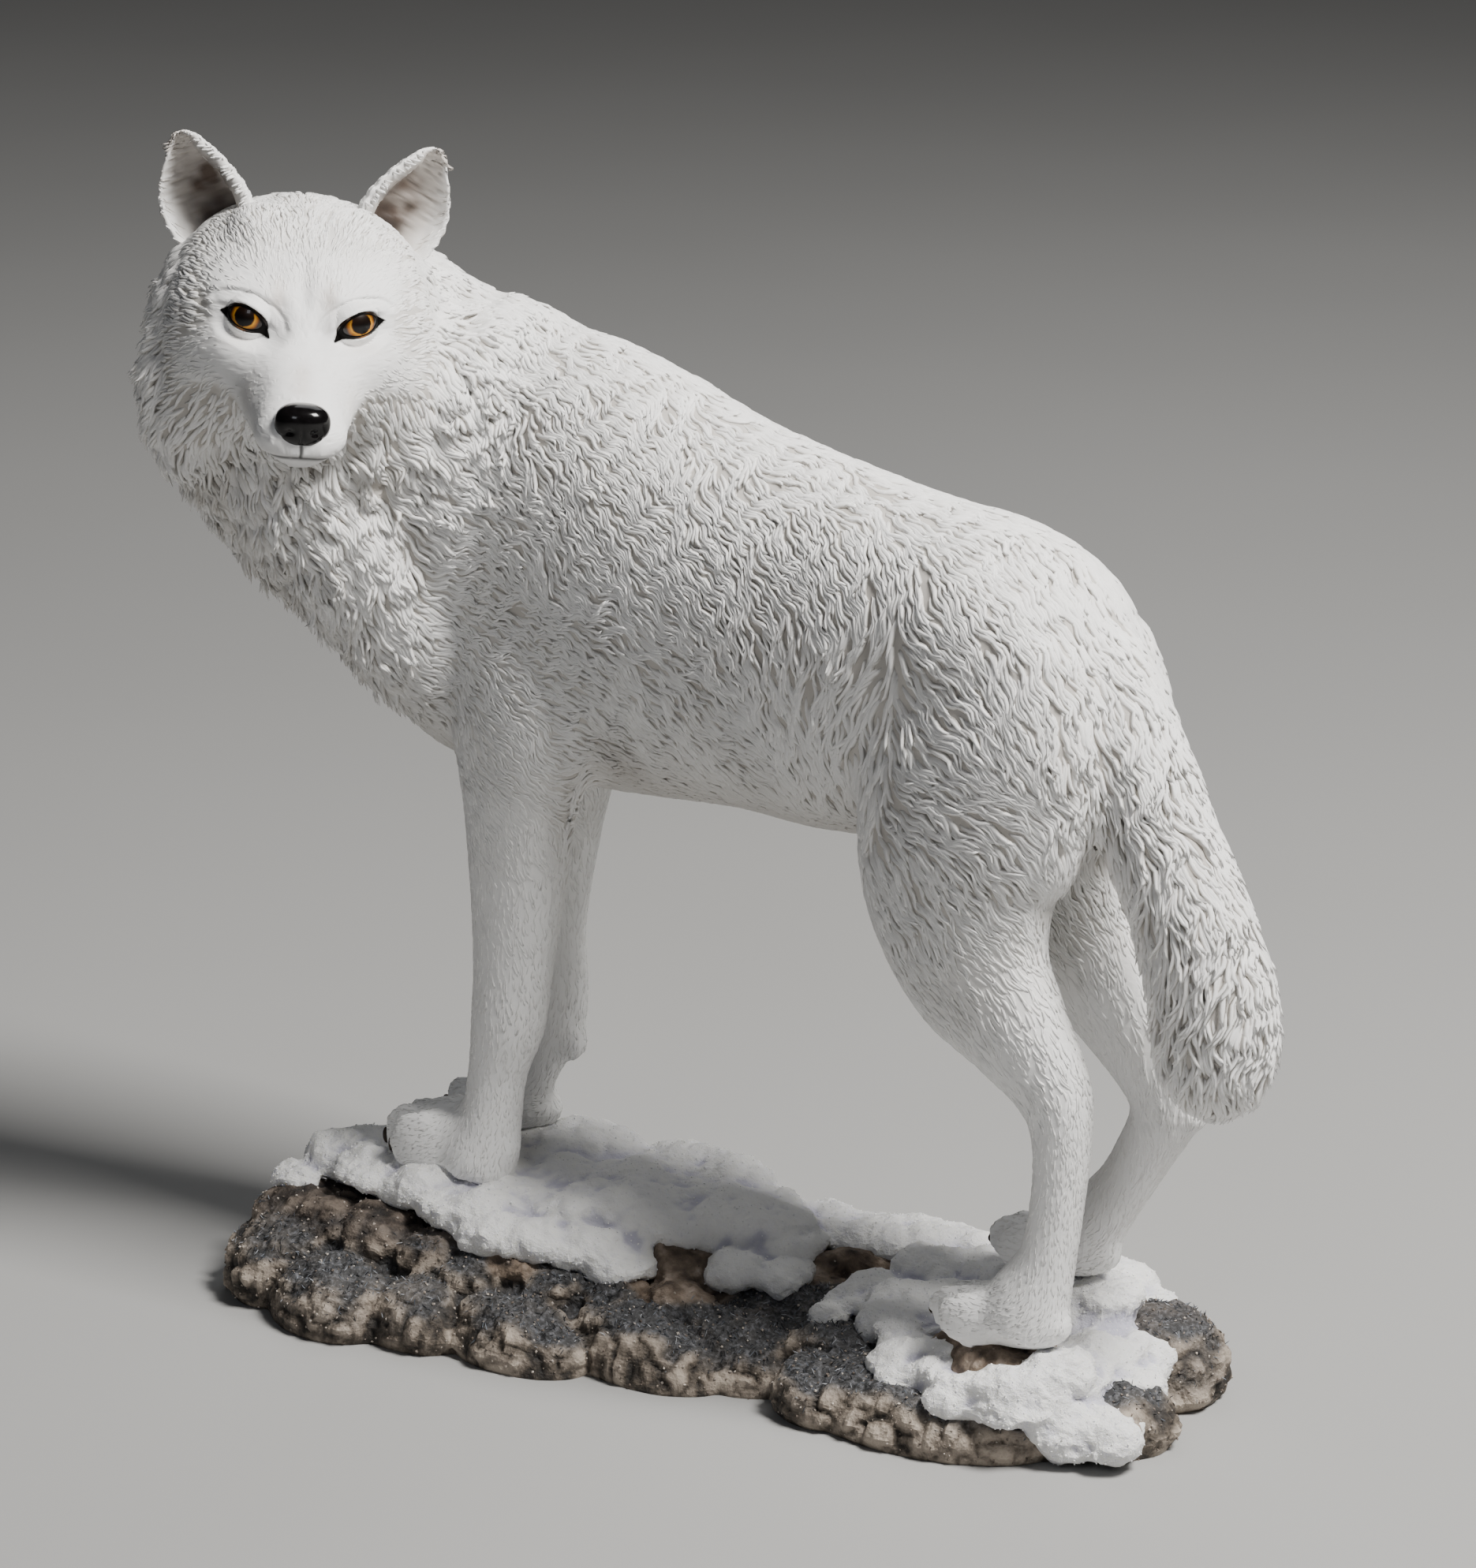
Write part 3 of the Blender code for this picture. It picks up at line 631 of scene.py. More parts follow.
def spread_roots(surface, wanted, seed):
    """Points picked evenly: a walk along the surface in Morton order that stops at each whole wanted one."""
    cell = ((surface.points - surface.points.min(0)) / MORTON_CELL).astype(np.int64)
    code = np.zeros(len(cell), np.int64)
    for bit in range(MORTON_BITS):
        for axis in range(3):
            code |= ((cell[:, axis] >> bit) & 1) << (3 * bit + axis)
    order = np.argsort(code, kind="stable")
    total = np.cumsum(wanted[order])
    draws = np.random.default_rng(seed)
    stops = np.arange(int(total[-1])) + draws.uniform(0.1, 0.9, int(total[-1]))
    return order[np.minimum(np.searchsorted(total, stops), len(order) - 1)]


def neighbours(surface, at, place):
    """The neighbours of each vertex, with itself, and their squared distances from its place."""
    near = surface.near[at]
    return near, ((surface.points[near] - place[:, None]) ** 2).sum(2)


def combed(surface, at, place, length, stations, own):
    """Walk from each root's vertex and place along the lie of the coat, turning by its own angle on the way.

    Found are the places, normals and ways at the stations. Each step climbs from vertex to nearer vertex.
    """
    rows = np.arange(len(at))
    trail = []
    for step in range(stations):
        bend = own * 2 * step / (stations - 1)
        for _ in range(4):
            near, gap = neighbours(surface, at, place)
            at = near[rows, gap.argmin(1)]
        near, gap = neighbours(surface, at, place)
        weight = np.exp(-gap / 2.0)
        weight = (weight / weight.sum(1, keepdims=True))[..., None]
        normal = unit((weight * surface.normals[near]).sum(1))
        base = (weight * surface.points[near]).sum(1)
        place = place - dot(place - base, normal) * normal
        way = swung(laid((weight * surface.way[near]).sum(1), normal), normal, bend)
        trail.append((place, normal, way))
        place = place + way * (length / (stations - 1))[:, None]
    return [np.stack(part, 1) for part in zip(*trail)]


OWN_TURN = 16.0  # most degrees that a tuft turns from the lie of the coat


def locks(surface, roots, stations, lift, seed, fan=1):
    """Tapered locks on a surface, each a ridge of three sides that starts under it and ends in a point.

    Along t from 0 to 1 the half width is breadth / 2 x sin(pi t^0.75)^0.55, the ridge stands 0.7 of it above
    the spine and the edges 0.4 of it below, and the spine climbs from under the skin to the coat's depth.
    A fan makes each tuft of that many locks side by side, fuller by a power of 0.35, that share one tip.
    """
    draws = np.random.default_rng(seed)
    count = len(roots) * fan
    rank = np.tile(np.arange(fan) - (fan - 1) / 2, len(roots))
    roots = np.repeat(roots, fan)

    def drawn(low, high, own=0.0):
        """One random number for each tuft, times each lock's own within this share of 1."""
        of_tuft = np.repeat(draws.uniform(low, high, count // fan), fan)
        return of_tuft * draws.uniform(1 - own, 1 + own, count)

    length = surface.length[roots] * drawn(0.75, 1.2, 0.12) * (1 - 0.1 * np.abs(rank))
    apart = np.where(fan > 1, 2 * TUFT_WIDE / fan, surface.breadth[roots])
    breadth = np.where(fan > 1, 1.3 * apart, apart) * drawn(0.8, 1.2, 0.15)
    jitter = np.stack([drawn(-0.6, 0.6) for _ in range(3)], 1)
    beside = np.cross(surface.normals[roots], surface.straight[roots])
    start = surface.points[roots] + jitter + beside * (rank * apart)[:, None]
    own = np.radians(OWN_TURN) * drawn(-1, 1) * (0.6 if fan > 1 else 1.0)
    place, normal, way = combed(surface, roots, start, length, stations, own)
    t = np.linspace(0, 1, stations)
    half = breadth[:, None] / 2 * np.sin(np.pi * t**0.75).clip(0) ** (0.35 if fan > 1 else 0.55)
    swell = 0.95 + 0.3 * grain(surface.points[roots], 7, 71)
    room = np.maximum(surface.depth[roots] * swell * draws.uniform(0.75, 1.1, count) - 0.3 * breadth, 0.02)
    height = -0.3 * (1 - t) ** 2 + room[:, None] * t**0.8
    # Tips lift off the coat, less so on the back, where they would show as spikes.
    stand = lift * (1 - 0.8 * ease(0.1, 0.6, surface.normals[roots, 2]))
    height = height + (stand * surface.depth[roots] * drawn(0.3, 1.6))[:, None] * t**3
    side = np.cross(normal, way)
    lean = draws.uniform(-0.35, 0.35, count)[:, None, None]
    gather = (rank * apart)[:, None] * (0.6 * t**2)
    spine = place + normal * height[..., None] - side * gather[..., None]
    half = half[..., None]
    left = spine + side * half - normal * 0.4 * half
    right = spine - side * half - normal * 0.4 * half
    ridge = spine + normal * 0.7 * half + side * lean * half
    rings = np.stack([left, ridge, right], 2)[:, 1:-1]
    inner = stations - 2
    per = inner * 3 + 2
    points = np.concatenate([rings.reshape(count, -1, 3), spine[:, :1], spine[:, -1:]], 1).reshape(-1, 3)
    first = (np.arange(count) * per)[:, None, None]
    faces = flipped(closed_grid(np.empty((inner, 3))))
    faces = [(face + first).reshape(-1, face.shape[1]) for face in faces]
    level = t[1:-1]
    # Paint along a lock: darker at its edges and root, lighter on its crest and tip, a grey wash with
    # painted shade in the grooves; shallow hair gets less.
    edge, crest = 0.22 + 0.38 * level, 0.74 + 0.26 * level
    rise = np.concatenate([np.stack([edge, crest, edge], 1).ravel(), (0.2, 0.95)])
    flat = 0.65 * ease(0.65, 0.25, surface.depth[roots])[:, None]
    rise = (rise + (0.85 - rise) * flat).ravel()
    tone = np.repeat(drawn(0, 1), per)
    owner = np.repeat(roots, per)
    corners = bake_corners(stations, count)
    return SimpleNamespace(points=points, faces=faces, rise=rise, tone=tone, owner=owner, corners=corners)


def locks_wanted(surface, cover):
    """How many locks cover the skin round each point so many times: a lock covers 0.55 length x breadth."""
    return cover * surface.area / (0.55 * surface.length * surface.breadth)


def bake_corners(stations, count):
    """Where each corner of a lock's faces lies in its own patch from -1 to 1, unrolled round the lock."""
    inner = stations - 2
    column = np.arange(3)
    level = np.linspace(-1, 1, stations)
    row = np.arange(inner - 1)
    u = (np.stack([column, column, column + 1, column + 1], -1) / 1.5 - 1)[None].repeat(inner - 1, 0)
    v = level[np.stack([row, row + 1, row + 1, row], -1) + 1][:, None].repeat(3, 1)
    quads = np.stack([u, v], -1).reshape(-1, 4, 2)
    tips = []
    for end, near, flip in ((0, 1, False), (-1, -2, True)):
        pair = (column + 1, column) if flip else (column, column + 1)
        u = np.stack([column + 0.5, *pair], -1) / 1.5 - 1
        v = np.tile((level[end], level[near], level[near]), (3, 1))
        tips.append(np.stack([u, v], -1))
    return [np.tile(part[:, ::-1], (count, 1, 1)) for part in (quads, *tips)]


BAKE_MAP = "OFBake"
PATCH = 0.0015  # half the side of a lock's patch on the bake map


def coat_piece(name, parts, surface):
    """One joined mesh of locks, with its markings and its map for baking."""
    points, faces = joined([(part.points, part.faces) for part in parts])
    piece = new_piece(name, points, faces)
    marks = ("rise", "tone", "owner")
    rise, tone, owner = (np.concatenate([getattr(part, name) for part in parts]) for name in marks)
    put(piece, rise=rise, tone=tone, tint=surface.tint[owner])
    where = np.concatenate([corner.reshape(-1, 2) for part in parts for corner in part.corners])
    index = read(piece.data.loops, "vertex_index", 1, np.int32)
    layer = piece.data.uv_layers.new(name=BAKE_MAP)
    layer.data.foreach_set("uv", (surface.chart[owner[index]] + PATCH * where).astype(np.float32).ravel())
    return piece


def charted(piece):
    """An unwrap of the piece's own shape, as one place on the map for each point."""
    bpy.ops.object.select_all(action="DESELECT")
    bpy.context.view_layer.objects.active = piece
    piece.select_set(True)
    bpy.ops.object.mode_set(mode="EDIT")
    bpy.ops.mesh.select_all(action="SELECT")
    bpy.ops.uv.smart_project(angle_limit=1.2, island_margin=0.004)
    bpy.ops.object.mode_set(mode="OBJECT")
    layer = piece.data.uv_layers[0]
    where = read(layer.data, "uv", 2)
    index = read(piece.data.loops, "vertex_index", 1, np.int32)
    chart = np.zeros((len(piece.data.vertices), 2))
    chart[index] = where
    piece.data.uv_layers.remove(layer)
    return chart


# ======== the face
EYE_CENTRE = np.array((15.5, 10.5, 0.0))
EYE_RADIUS = 5.5
LID = 0.35  # how far a lid stands out from the eyeball
EYE_TILT = math.radians(20.0)  # rise of the lids towards the outer corner
EYE_HALF = 6.2  # half the painted rim, corner to corner
MOUTH_LEVEL = -21.8


def eye_axes(side):
    """An eye's own axes as rows in the head's frame: outwards along the lids, up across them, forwards."""
    forward = unit(np.array((0.93, 0.34 * side, 0.12)))
    out = np.array((0.0, side, 0.0))
    out = unit(out - forward * (forward @ out))
    up = np.cross(forward, out) * side
    along = out * math.cos(EYE_TILT) + up * math.sin(EYE_TILT)
    return np.stack([along, up * math.cos(EYE_TILT) - out * math.sin(EYE_TILT), forward])


def in_eye(q, side):
    """Points of the head's frame in an eye's own."""
    return (q - EYE_CENTRE * (1, side, 1)) @ eye_axes(side).T


def from_eye(local, side):
    """Points of an eye's own frame in the shared one."""
    return from_head(local @ eye_axes(side) + EYE_CENTRE * (1, side, 1))


def eyeball_height(u, v, reach=0.9):
    """Height of the eyeball over its own middle: sqrt(R^2 - u^2 - v^2), held level near its rim."""
    return np.sqrt(EYE_RADIUS**2 - np.minimum(u**2 + v**2, (reach * EYE_RADIUS) ** 2))


FACE_MIDDLE = np.array((26.0, 0.0, -9.0))


def from_face(q):
    """Distance of each point from the middle of the face."""
    return np.linalg.norm(q - FACE_MIDDLE, axis=1)


def near_face(q, x_from=8.5, reach=44.0):
    """True for points in front of this plane and within a reach of the middle of the face."""
    return (q[:, 0] > x_from) & (from_face(q) < reach)


def lid_share(u, v):
    """How far a place is from the middle of the lids, as a share of the way to their rim."""
    return np.hypot(u / EYE_HALF, (v + 0.35) / 3.4)


def almond(u):
    """Upper and lower edge of the painted rim at a place along the lids, with a point at each corner."""
    share = np.minimum(np.abs(u) / EYE_HALF, 1)
    low = -1.35 - 0.9 * ease(-3.8, -EYE_HALF, u)
    return low + 3.7 * (1 - share**1.7), low - 1.3 * (1 - share**2.1)


def open_socket(q, side):
    """Skin points near an eye moved along its axis: under the ball inside the lids, over it on them."""
    u, v, w = in_eye(q, side).T
    apart = lid_share(u, v)
    ball = eyeball_height(u, v)
    inside = ball - 1.3
    above = ease(-0.5, 1.0, v)
    lid = ball + LID + (0.15 + 0.4 * above) * bell(apart - 0.98, 0.2)
    level = inside + (lid - inside) * ease(0.66, 0.84, apart)
    level = level + (w - level) * ease(1.0, 1.9, apart) - 0.5 * above * bell(apart - 1.45, 0.14)
    cover = np.sqrt(np.maximum(EYE_RADIUS**2 - u**2 - v**2, 0)) + 0.2
    level = np.where((apart > 0.8) & (np.hypot(u, v) < 0.98 * EYE_RADIUS), np.maximum(level, cover), level)
    near = (w > -3) & (np.hypot(u, v) < 15)
    return q + np.where(near, level - w, 0)[:, None] * eye_axes(side)[2]


def mouth_at(x):
    """Height of the mouth line at a distance forward: level in front, rising a little to the corner."""
    return MOUTH_LEVEL + 2.6 * ease(44, 24, x)


def mouth_masks(q):
    """Shares from 0 to 1: in the mouth's groove, below it on the jaw, and in the groove under the nose."""
    x, y, z = q.T
    level = mouth_at(x) - 0.008 * np.minimum(y**2, 60)
    held = ease(23, 27, x)
    groove = bell(z - level, 0.5) * held * ease(-30, -26, z)
    below = ease(0.2, -1.2, z - level) * held
    philtrum = bell(y, 0.34) * ease(46, 48, x) * ease(-0.3, 0.4, z - MOUTH_LEVEL) * ease(0, -2, z - NOSE[2])
    return groove, below, philtrum


def sculpt_face(q):
    """Brow, hollows, cheeks, lips and chin: soft bells added along fixed ways of the head's frame."""
    for side in (1, -1):
        x, y, z = q[:, 0], q[:, 1] * side, q[:, 2]
        front = ease(2, 10, x)[:, None]

        def swell(cx, cy, cz, wide, way, by):
            """How far each point moves along a way, as a bell about a place."""
            near = bell(np.linalg.norm((np.stack([x, y, z], 1) - (cx, cy, cz)) / wide, axis=1), 1.0)
            return near[:, None] * front * unit(np.array(way, float)) * (1, side, 1) * by

        q = (
            q
            + swell(19, 8.5, 6.2, (6, 4.5, 2.4), (1, 0.1, -0.2), 1.7)  # brow
            + swell(16, 14.5, 5.4, (6, 4.5, 2.4), (1, 0.5, 0), 1.2)
            + swell(22, 4.9, 0.5, (5, 2.0, 4.5), (-1, 0.5, 0), 0.9)  # hollow beside the bridge
            + swell(18, 14.5, -8, (6, 6, 3.5), (1, 0.6, 0.1), 0.7)  # cheekbone
            + swell(46.5, 6.4, -18.8, (6, 4, 3.2), (0.35, 1, 0.1), 1.2)  # whisker pad
            + swell(33, 9, -12, (8, 3.5, 4), (0, -1, 0), 0.8)  # side of the muzzle drawn in
        )
    x, y, z = q.T
    furrow = bell(y, 1.6) * ease(1, 5, z) * ease(17, 10, z) * ease(8, 13, x)
    q = q + furrow[:, None] * (-0.6, 0, -0.2)
    groove, below, philtrum = mouth_masks(q)
    inward = unit(np.stack([0.35 * (x - 30) / 20, y / 8, 0 * z], 1)) * -1
    q = q + (0.8 * groove + 0.9 * below)[:, None] * inward + (0.45 * philtrum)[:, None] * (-1, 0, 0)
    for side in (1, -1):
        q = open_socket(q, side)
    return q


def streaks(surface, rounds, seed):
    """Fine strokes along the hair: random numbers averaged again and again along the lie of the coat."""
    values = np.random.default_rng(seed).normal(size=len(surface.points))
    near = surface.near[:, 1:]
    edge = surface.points[near] - surface.points[:, None]
    size = np.linalg.norm(edge, axis=2)
    weight = (np.abs((edge * surface.straight[:, None]).sum(2)) / np.maximum(size, 1e-6)) ** 6
    weight[size < 1e-6] = 0
    weight /= np.maximum(weight.sum(1, keepdims=True), 1e-6)
    for _ in range(rounds):
        values = 0.4 * values + 0.6 * (weight * values[near]).sum(1)
    return values / values.std()


# ======== paint
def linear(code):
    """An sRGB hex value as linear red, green and blue."""
    values = np.array([int(code[k : k + 2], 16) for k in (1, 3, 5)]) / 255
    return np.where(values <= 0.04045, values / 12.92, ((values + 0.055) / 1.055) ** 2.4)


TAN = linear("#B79F88")
BROWN = linear("#6E5546")
GREY = linear("#A8A6A8")
INK = linear("#15110F")


def washed(tint, *washes):
    """A tint with washes of colour laid on it, one over the other, each by its share at each point."""
    for colour, share in washes:
        tint = tint + (colour - tint) * np.clip(share, 0, 1)[:, None]
    return tint


def markings(points, normals):
    """Tint of the coat at each point: white, with washes of tan, brown and ink, and grey painted shade under
    the body and in the face's hollows.
    """
    q = to_head(points)
    x, y, z = q.T
    side = np.abs(y)
    body = points - SHIFT

    def spot(cx, cy, cz, wide):
        """A soft spot on both sides of the head."""
        return bell(np.linalg.norm((np.stack([x, side, z], 1) - (cx, cy, cz)) / wide, axis=1), 1.0)

    # Painted shade: greyer where the surface faces down, under the belly and chest.
    under = ease(-0.1, -0.9, normals[:, 2]) * ease(95, 110, body[:, 2]) * ease(205, 190, body[:, 2])
    # Painted shade in the crease behind the near foreleg, low on the belly.
    elbow_crease_shade = bell(np.linalg.norm((body - (-22, -22, 128)) / (7, 9, 9), axis=1), 1.0)
    tint = washed(
        np.ones((len(points), 3)),
        (linear("#B9B2A8"), 0.45 * under),
        (linear("#8E8276"), 0.5 * elbow_crease_shade),
        (TAN, 0.40 * spot(20, 5.4, 5.2, (4, 1.7, 3.0))),  # brow
        (GREY, 0.45 * spot(22, 5.0, 0.5, (5, 2.0, 4.6))),  # painted shade in the hollow beside the bridge
        (TAN, 0.22 * spot(18, 13.5, -5.0, (4, 4, 1.6))),  # under the eye
        (TAN, 0.25 * bell(y, 2.2) * ease(28, 36, x) * ease(49, 43, x) * ease(-16, -12, z)),  # bridge
        (GREY, 0.16 * bell(y, 2.0) * ease(2, 5, z) * ease(16, 10, z) * ease(6, 12, x)),  # painted shade in the forehead's furrow
        (BROWN, 0.42 * spot(50.5, 0, -9.4, (2.2, 6.2, 1.5))),  # behind the nose
        (BROWN, 0.22 * spot(51, 4.2, -20.8, (3, 3.4, 1.2))),  # lips
        (GREY, 0.38 * spot(48, 0, -24.0, (5, 6.5, 1.8))),  # painted shade under the mouth, on the chin
        (TAN, 0.2 * spot(30, 13, -14, (6, 4, 4))),  # side of the muzzle
    )
    for way in (1, -1):
        u, v, w = in_eye(q, way).T
        top, bottom = almond(u)
        inked = ease(0.3, 0.0, np.maximum(v - top, bottom - v)) * (np.abs(u) < EYE_HALF) * (w > -3)
        tint = washed(tint, (INK, inked))
    groove, _, philtrum = mouth_masks(q)
    front = ease(40, 46, x)
    face = near_face(q)
    mouth = 0.9 * groove**1.5 * (0.35 + 0.65 * front) * face
    return washed(tint, (INK, mouth), (INK, 0.9 * philtrum * face))


def fill(tree, node, sockets):
    """Give a node's sockets their values, or links from other nodes."""
    for name, value in sockets.items():
        if isinstance(value, bpy.types.NodeSocket):
            tree.links.new(value, node.inputs[name])
        else:
            node.inputs[name].default_value = value


def add(tree, kind, out, sockets=None, stops=None, **settings):
    """Add a node with its settings, its sockets' values or links and a ramp's stops, and give its output."""
    made = tree.nodes.new("ShaderNode" + kind)
    for name, value in settings.items():
        setattr(made, name, value)
    fill(tree, made, sockets or {})
    if stops:
        ramp = made.color_ramp
        while len(ramp.elements) < len(stops):
            ramp.elements.new(0.5)
        for element, (place, code) in zip(ramp.elements, stops):
            element.position = place
            element.color = (*linear(code), 1)
    return made.outputs[out]


def start_material(name, **shader):
    """A material with its tree, its shader with these values, and its object coordinates."""
    material = bpy.data.materials.new(name)
    material.use_nodes = True
    tree = material.node_tree
    principled = tree.nodes["Principled BSDF"]
    fill(tree, principled, {socket.replace("_", " "): value for socket, value in shader.items()})
    return material, tree, principled, add(tree, "TexCoord", "Object")


def textured(tree, shader, paint, texture, rough, strength, depth):
    """Give a shader its colour, and a roughness and bumps that follow one texture."""
    low, high = rough
    rough = add(tree, "MapRange", "Result", {"Value": texture, "To Min": low, "To Max": high})
    bump = add(tree, "Bump", "Normal", {"Height": texture, "Strength": strength, "Distance": depth})
    fill(tree, shader, {"Base Color": paint, "Roughness": rough, "Normal": bump})


def painted_coat():
    """Cast polyresin in matt airbrushed paint: chalky white on the ridges, a warm grey wash between,
    deepened as painted shade.
    """
    material, tree, shader, place = start_material("airbrushed_polyresin_coat", IOR=1.5)
    rise, tone = (add(tree, "Attribute", "Fac", attribute_name=name) for name in ("rise", "tone"))
    tint = add(tree, "Attribute", "Color", attribute_name="tint")
    patches = add(tree, "TexNoise", "Fac", {"Vector": place, "Scale": 45.0, "Detail": 3.0})
    level = add(tree, "Math", 0, {0: patches, 1: 0.22, 2: -0.11}, operation="MULTIPLY_ADD")
    level = add(tree, "Math", 0, {0: rise, 1: level}, operation="ADD")
    level = add(tree, "Math", 0, {0: tone, 1: 0.10, 2: level}, operation="MULTIPLY_ADD")
    # Low rise, at the locks' roots and edges, is a grey wash deepened as painted shade in the grooves.
    stops = ((0.0, "#6F675F"), (0.28, "#A59E95"), (0.55, "#D9D6D1"), (0.8, "#F0EFED"), (1.0, "#F8F8F7"))
    wash = add(tree, "ValToRGB", "Color", {"Fac": level}, stops)
    mix = add(tree, "Mix", 2, {0: 1.0, 6: wash, 7: tint}, data_type="RGBA", blend_type="MULTIPLY")
    # Brush drag and casting grain, about 0.35 mm apart.
    fine = add(tree, "TexNoise", "Fac", {"Vector": place, "Scale": 2800.0, "Detail": 2.0})
    textured(tree, shader, mix, fine, rough=(0.5, 0.68), strength=0.35, depth=0.00006)
    return material


def glossy_eye():
    """Painted resin eye under clear gloss varnish: black pupil, gold iris with fine spokes, dark edge."""
    gloss = {"Roughness": 0.3, "Specular_IOR_Level": 0.3, "Coat_Weight": 0.4, "Coat_Roughness": 0.03}
    material, tree, shader, _ = start_material("varnished_painted_eye", IOR=1.45, **gloss)
    names = ("across", "spoke", "high")
    across, spoke, high = (add(tree, "Attribute", "Fac", attribute_name=name) for name in names)
    level = add(tree, "Math", 0, {0: spoke, 1: 0.03, 2: across}, operation="MULTIPLY_ADD")
    stops = (
        (0.0, "#050404"),
        (0.37, "#0A0706"),
        (0.39, "#6A3F12"),
        (0.425, "#CF952D"),
        (0.49, "#A86A1C"),
        (0.555, "#5E360F"),
        (0.60, "#150C06"),
    )
    paint = add(tree, "ValToRGB", "Color", {"Fac": level}, stops)
    # The iris is shaded dark under the upper lid.
    span = {"From Min": -0.12, "From Max": 0.3, "To Max": 0.85}
    shade = add(tree, "MapRange", "Result", {"Value": high, **span})
    dark = (*linear("#1C0F07"), 1)
    paint = add(tree, "Mix", 2, {0: shade, 6: paint, 7: dark}, data_type="RGBA")
    fill(tree, shader, {"Base Color": paint})
    return material


def plain_gloss(name, code, roughness, size, coat=0.25):
    """Gloss-varnished paint with a faint mottle of this size in millimetres, for nose, rims and claws."""
    gloss = {"Specular_IOR_Level": 0.1 + 0.8 * coat, "Coat_Weight": coat, "Coat_Roughness": 0.08}
    material, tree, shader, place = start_material(name, IOR=1.45, **gloss)
    mottle = add(tree, "TexNoise", "Fac", {"Vector": place, "Scale": 1000.0 / size, "Detail": 3.0})
    dark = "#%02X%02X%02X" % tuple(int(int(code[k : k + 2], 16) * 0.6) for k in (1, 3, 5))
    paint = add(tree, "ValToRGB", "Color", {"Fac": mottle}, ((0.3, dark), (0.7, code)))
    textured(tree, shader, paint, mottle, (roughness * 0.8, roughness * 1.3), strength=0.25, depth=0.00005)
    return material


COAT_PAINT = painted_coat()
EYE_PAINT = glossy_eye()
NOSE_PAINT = plain_gloss("black_gloss_varnish", "#0E0C0D", roughness=0.16, size=0.9)
RIM_PAINT = plain_gloss("black_satin_line_paint", "#090706", roughness=0.45, size=0.6, coat=0.0)
CLAW_PAINT = plain_gloss("dark_brown_claw_paint", "#3A2A22", roughness=0.4, size=0.7, coat=0.1)


# ======== skin
TUFT_WIDE = 2.9  # half the width of a tuft of the ruff
TUFT_HIGH = 2.6  # how far its tip stands over its root, where the coat is deepest


def ruff_share(surface):
    """How far the coat is gathered in tufts, from 0 on short hair and behind the ribs to 1 on the ruff."""
    return ease(0.95, 1.3, surface.depth) * ease(70, 20, surface.points[:, 0] - SHIFT[0])


def raise_tufts(surface):
    """Tiles that rise along the hair to a step: h = the most of (0.15 + 0.85 s)(1 - c^2) over all tiles.

    For each tile s runs from 0 to 1 along the hair, and c from -1 to 1 across it.
    """
    share = ruff_share(surface)
    long = 0.8 * surface.length
    surface.tufts = spread_roots(surface, share * surface.area / (0.42 * long * 2 * TUFT_WIDE), 22)
    chosen = np.flatnonzero(share > 0)
    root, way, normal = (rows[surface.tufts] for rows in (surface.points, surface.way, surface.normals))
    side = np.cross(normal, way)
    height = np.zeros(len(surface.points))
    for start in range(0, len(chosen), BATCH // 5):
        part = chosen[start : start + BATCH // 5]
        p = surface.points[part]
        s = (p @ way.T - (root * way).sum(1)) / long[surface.tufts]
        c = (p @ side.T - (root * side).sum(1)) / TUFT_WIDE
        w = p @ normal.T - (root * normal).sum(1)
        tile = (0.15 + 0.85 * s) * (1 - c**2).clip(0) * ((s > 0) & (s < 1.08) & (np.abs(w) < 4))
        height[part] = tile.max(1)
    height = averaged(surface, height[:, None], rounds=1, share=0.35)[:, 0]
    high = TUFT_HIGH * share * (0.5 + 0.5 * ease(1.0, 1.7, surface.depth))
    surface.points = surface.points + surface.normals * (high * (height - 0.4))[:, None]
    refresh(surface)


def part_toes(surface):
    """Grooves between the toes, from the knuckles forward: h = -0.9 exp(-(c / 0.9)^2), c across the foot."""
    body = surface.points - SHIFT
    for foot in PAWS:
        heel, along, *_ = foot_frame(foot)
        *_, height, half_width = foot
        reach = np.linalg.norm(along)
        p = body - heel
        ahead = p @ along / reach**2
        across = (p[:, 1] * along[0] - p[:, 0] * along[1]) / reach
        here = ease(0.62, 0.8, ahead) * ease(1.4, 1.2, ahead) * ease(1.4 * height, 1.2 * height, p[:, 2])
        here = here * (np.abs(across) < 1.4 * half_width)
        groove = sum(bell(across - place * half_width, 0.9) for place in (-0.53, 0.0, 0.53))
        surface.points = surface.points - surface.normals * (0.9 * here * groove)[:, None]
    refresh(surface)


def soften_face(surface, rounds):
    """Smooth the front of the head, and leave the rest as it is."""
    q = to_head(surface.points)
    face = ease(1, 8, q[:, 0]) * ease(44, 36, from_face(q))
    surface.points = averaged(surface, surface.points, rounds, 0.6 * face[:, None])
    refresh(surface)


# Side of a voxel where each surface is fused.
SKIN_VOXEL, ROCK_VOXEL, SNOW_VOXEL = 1.65, 0.9, 0.85


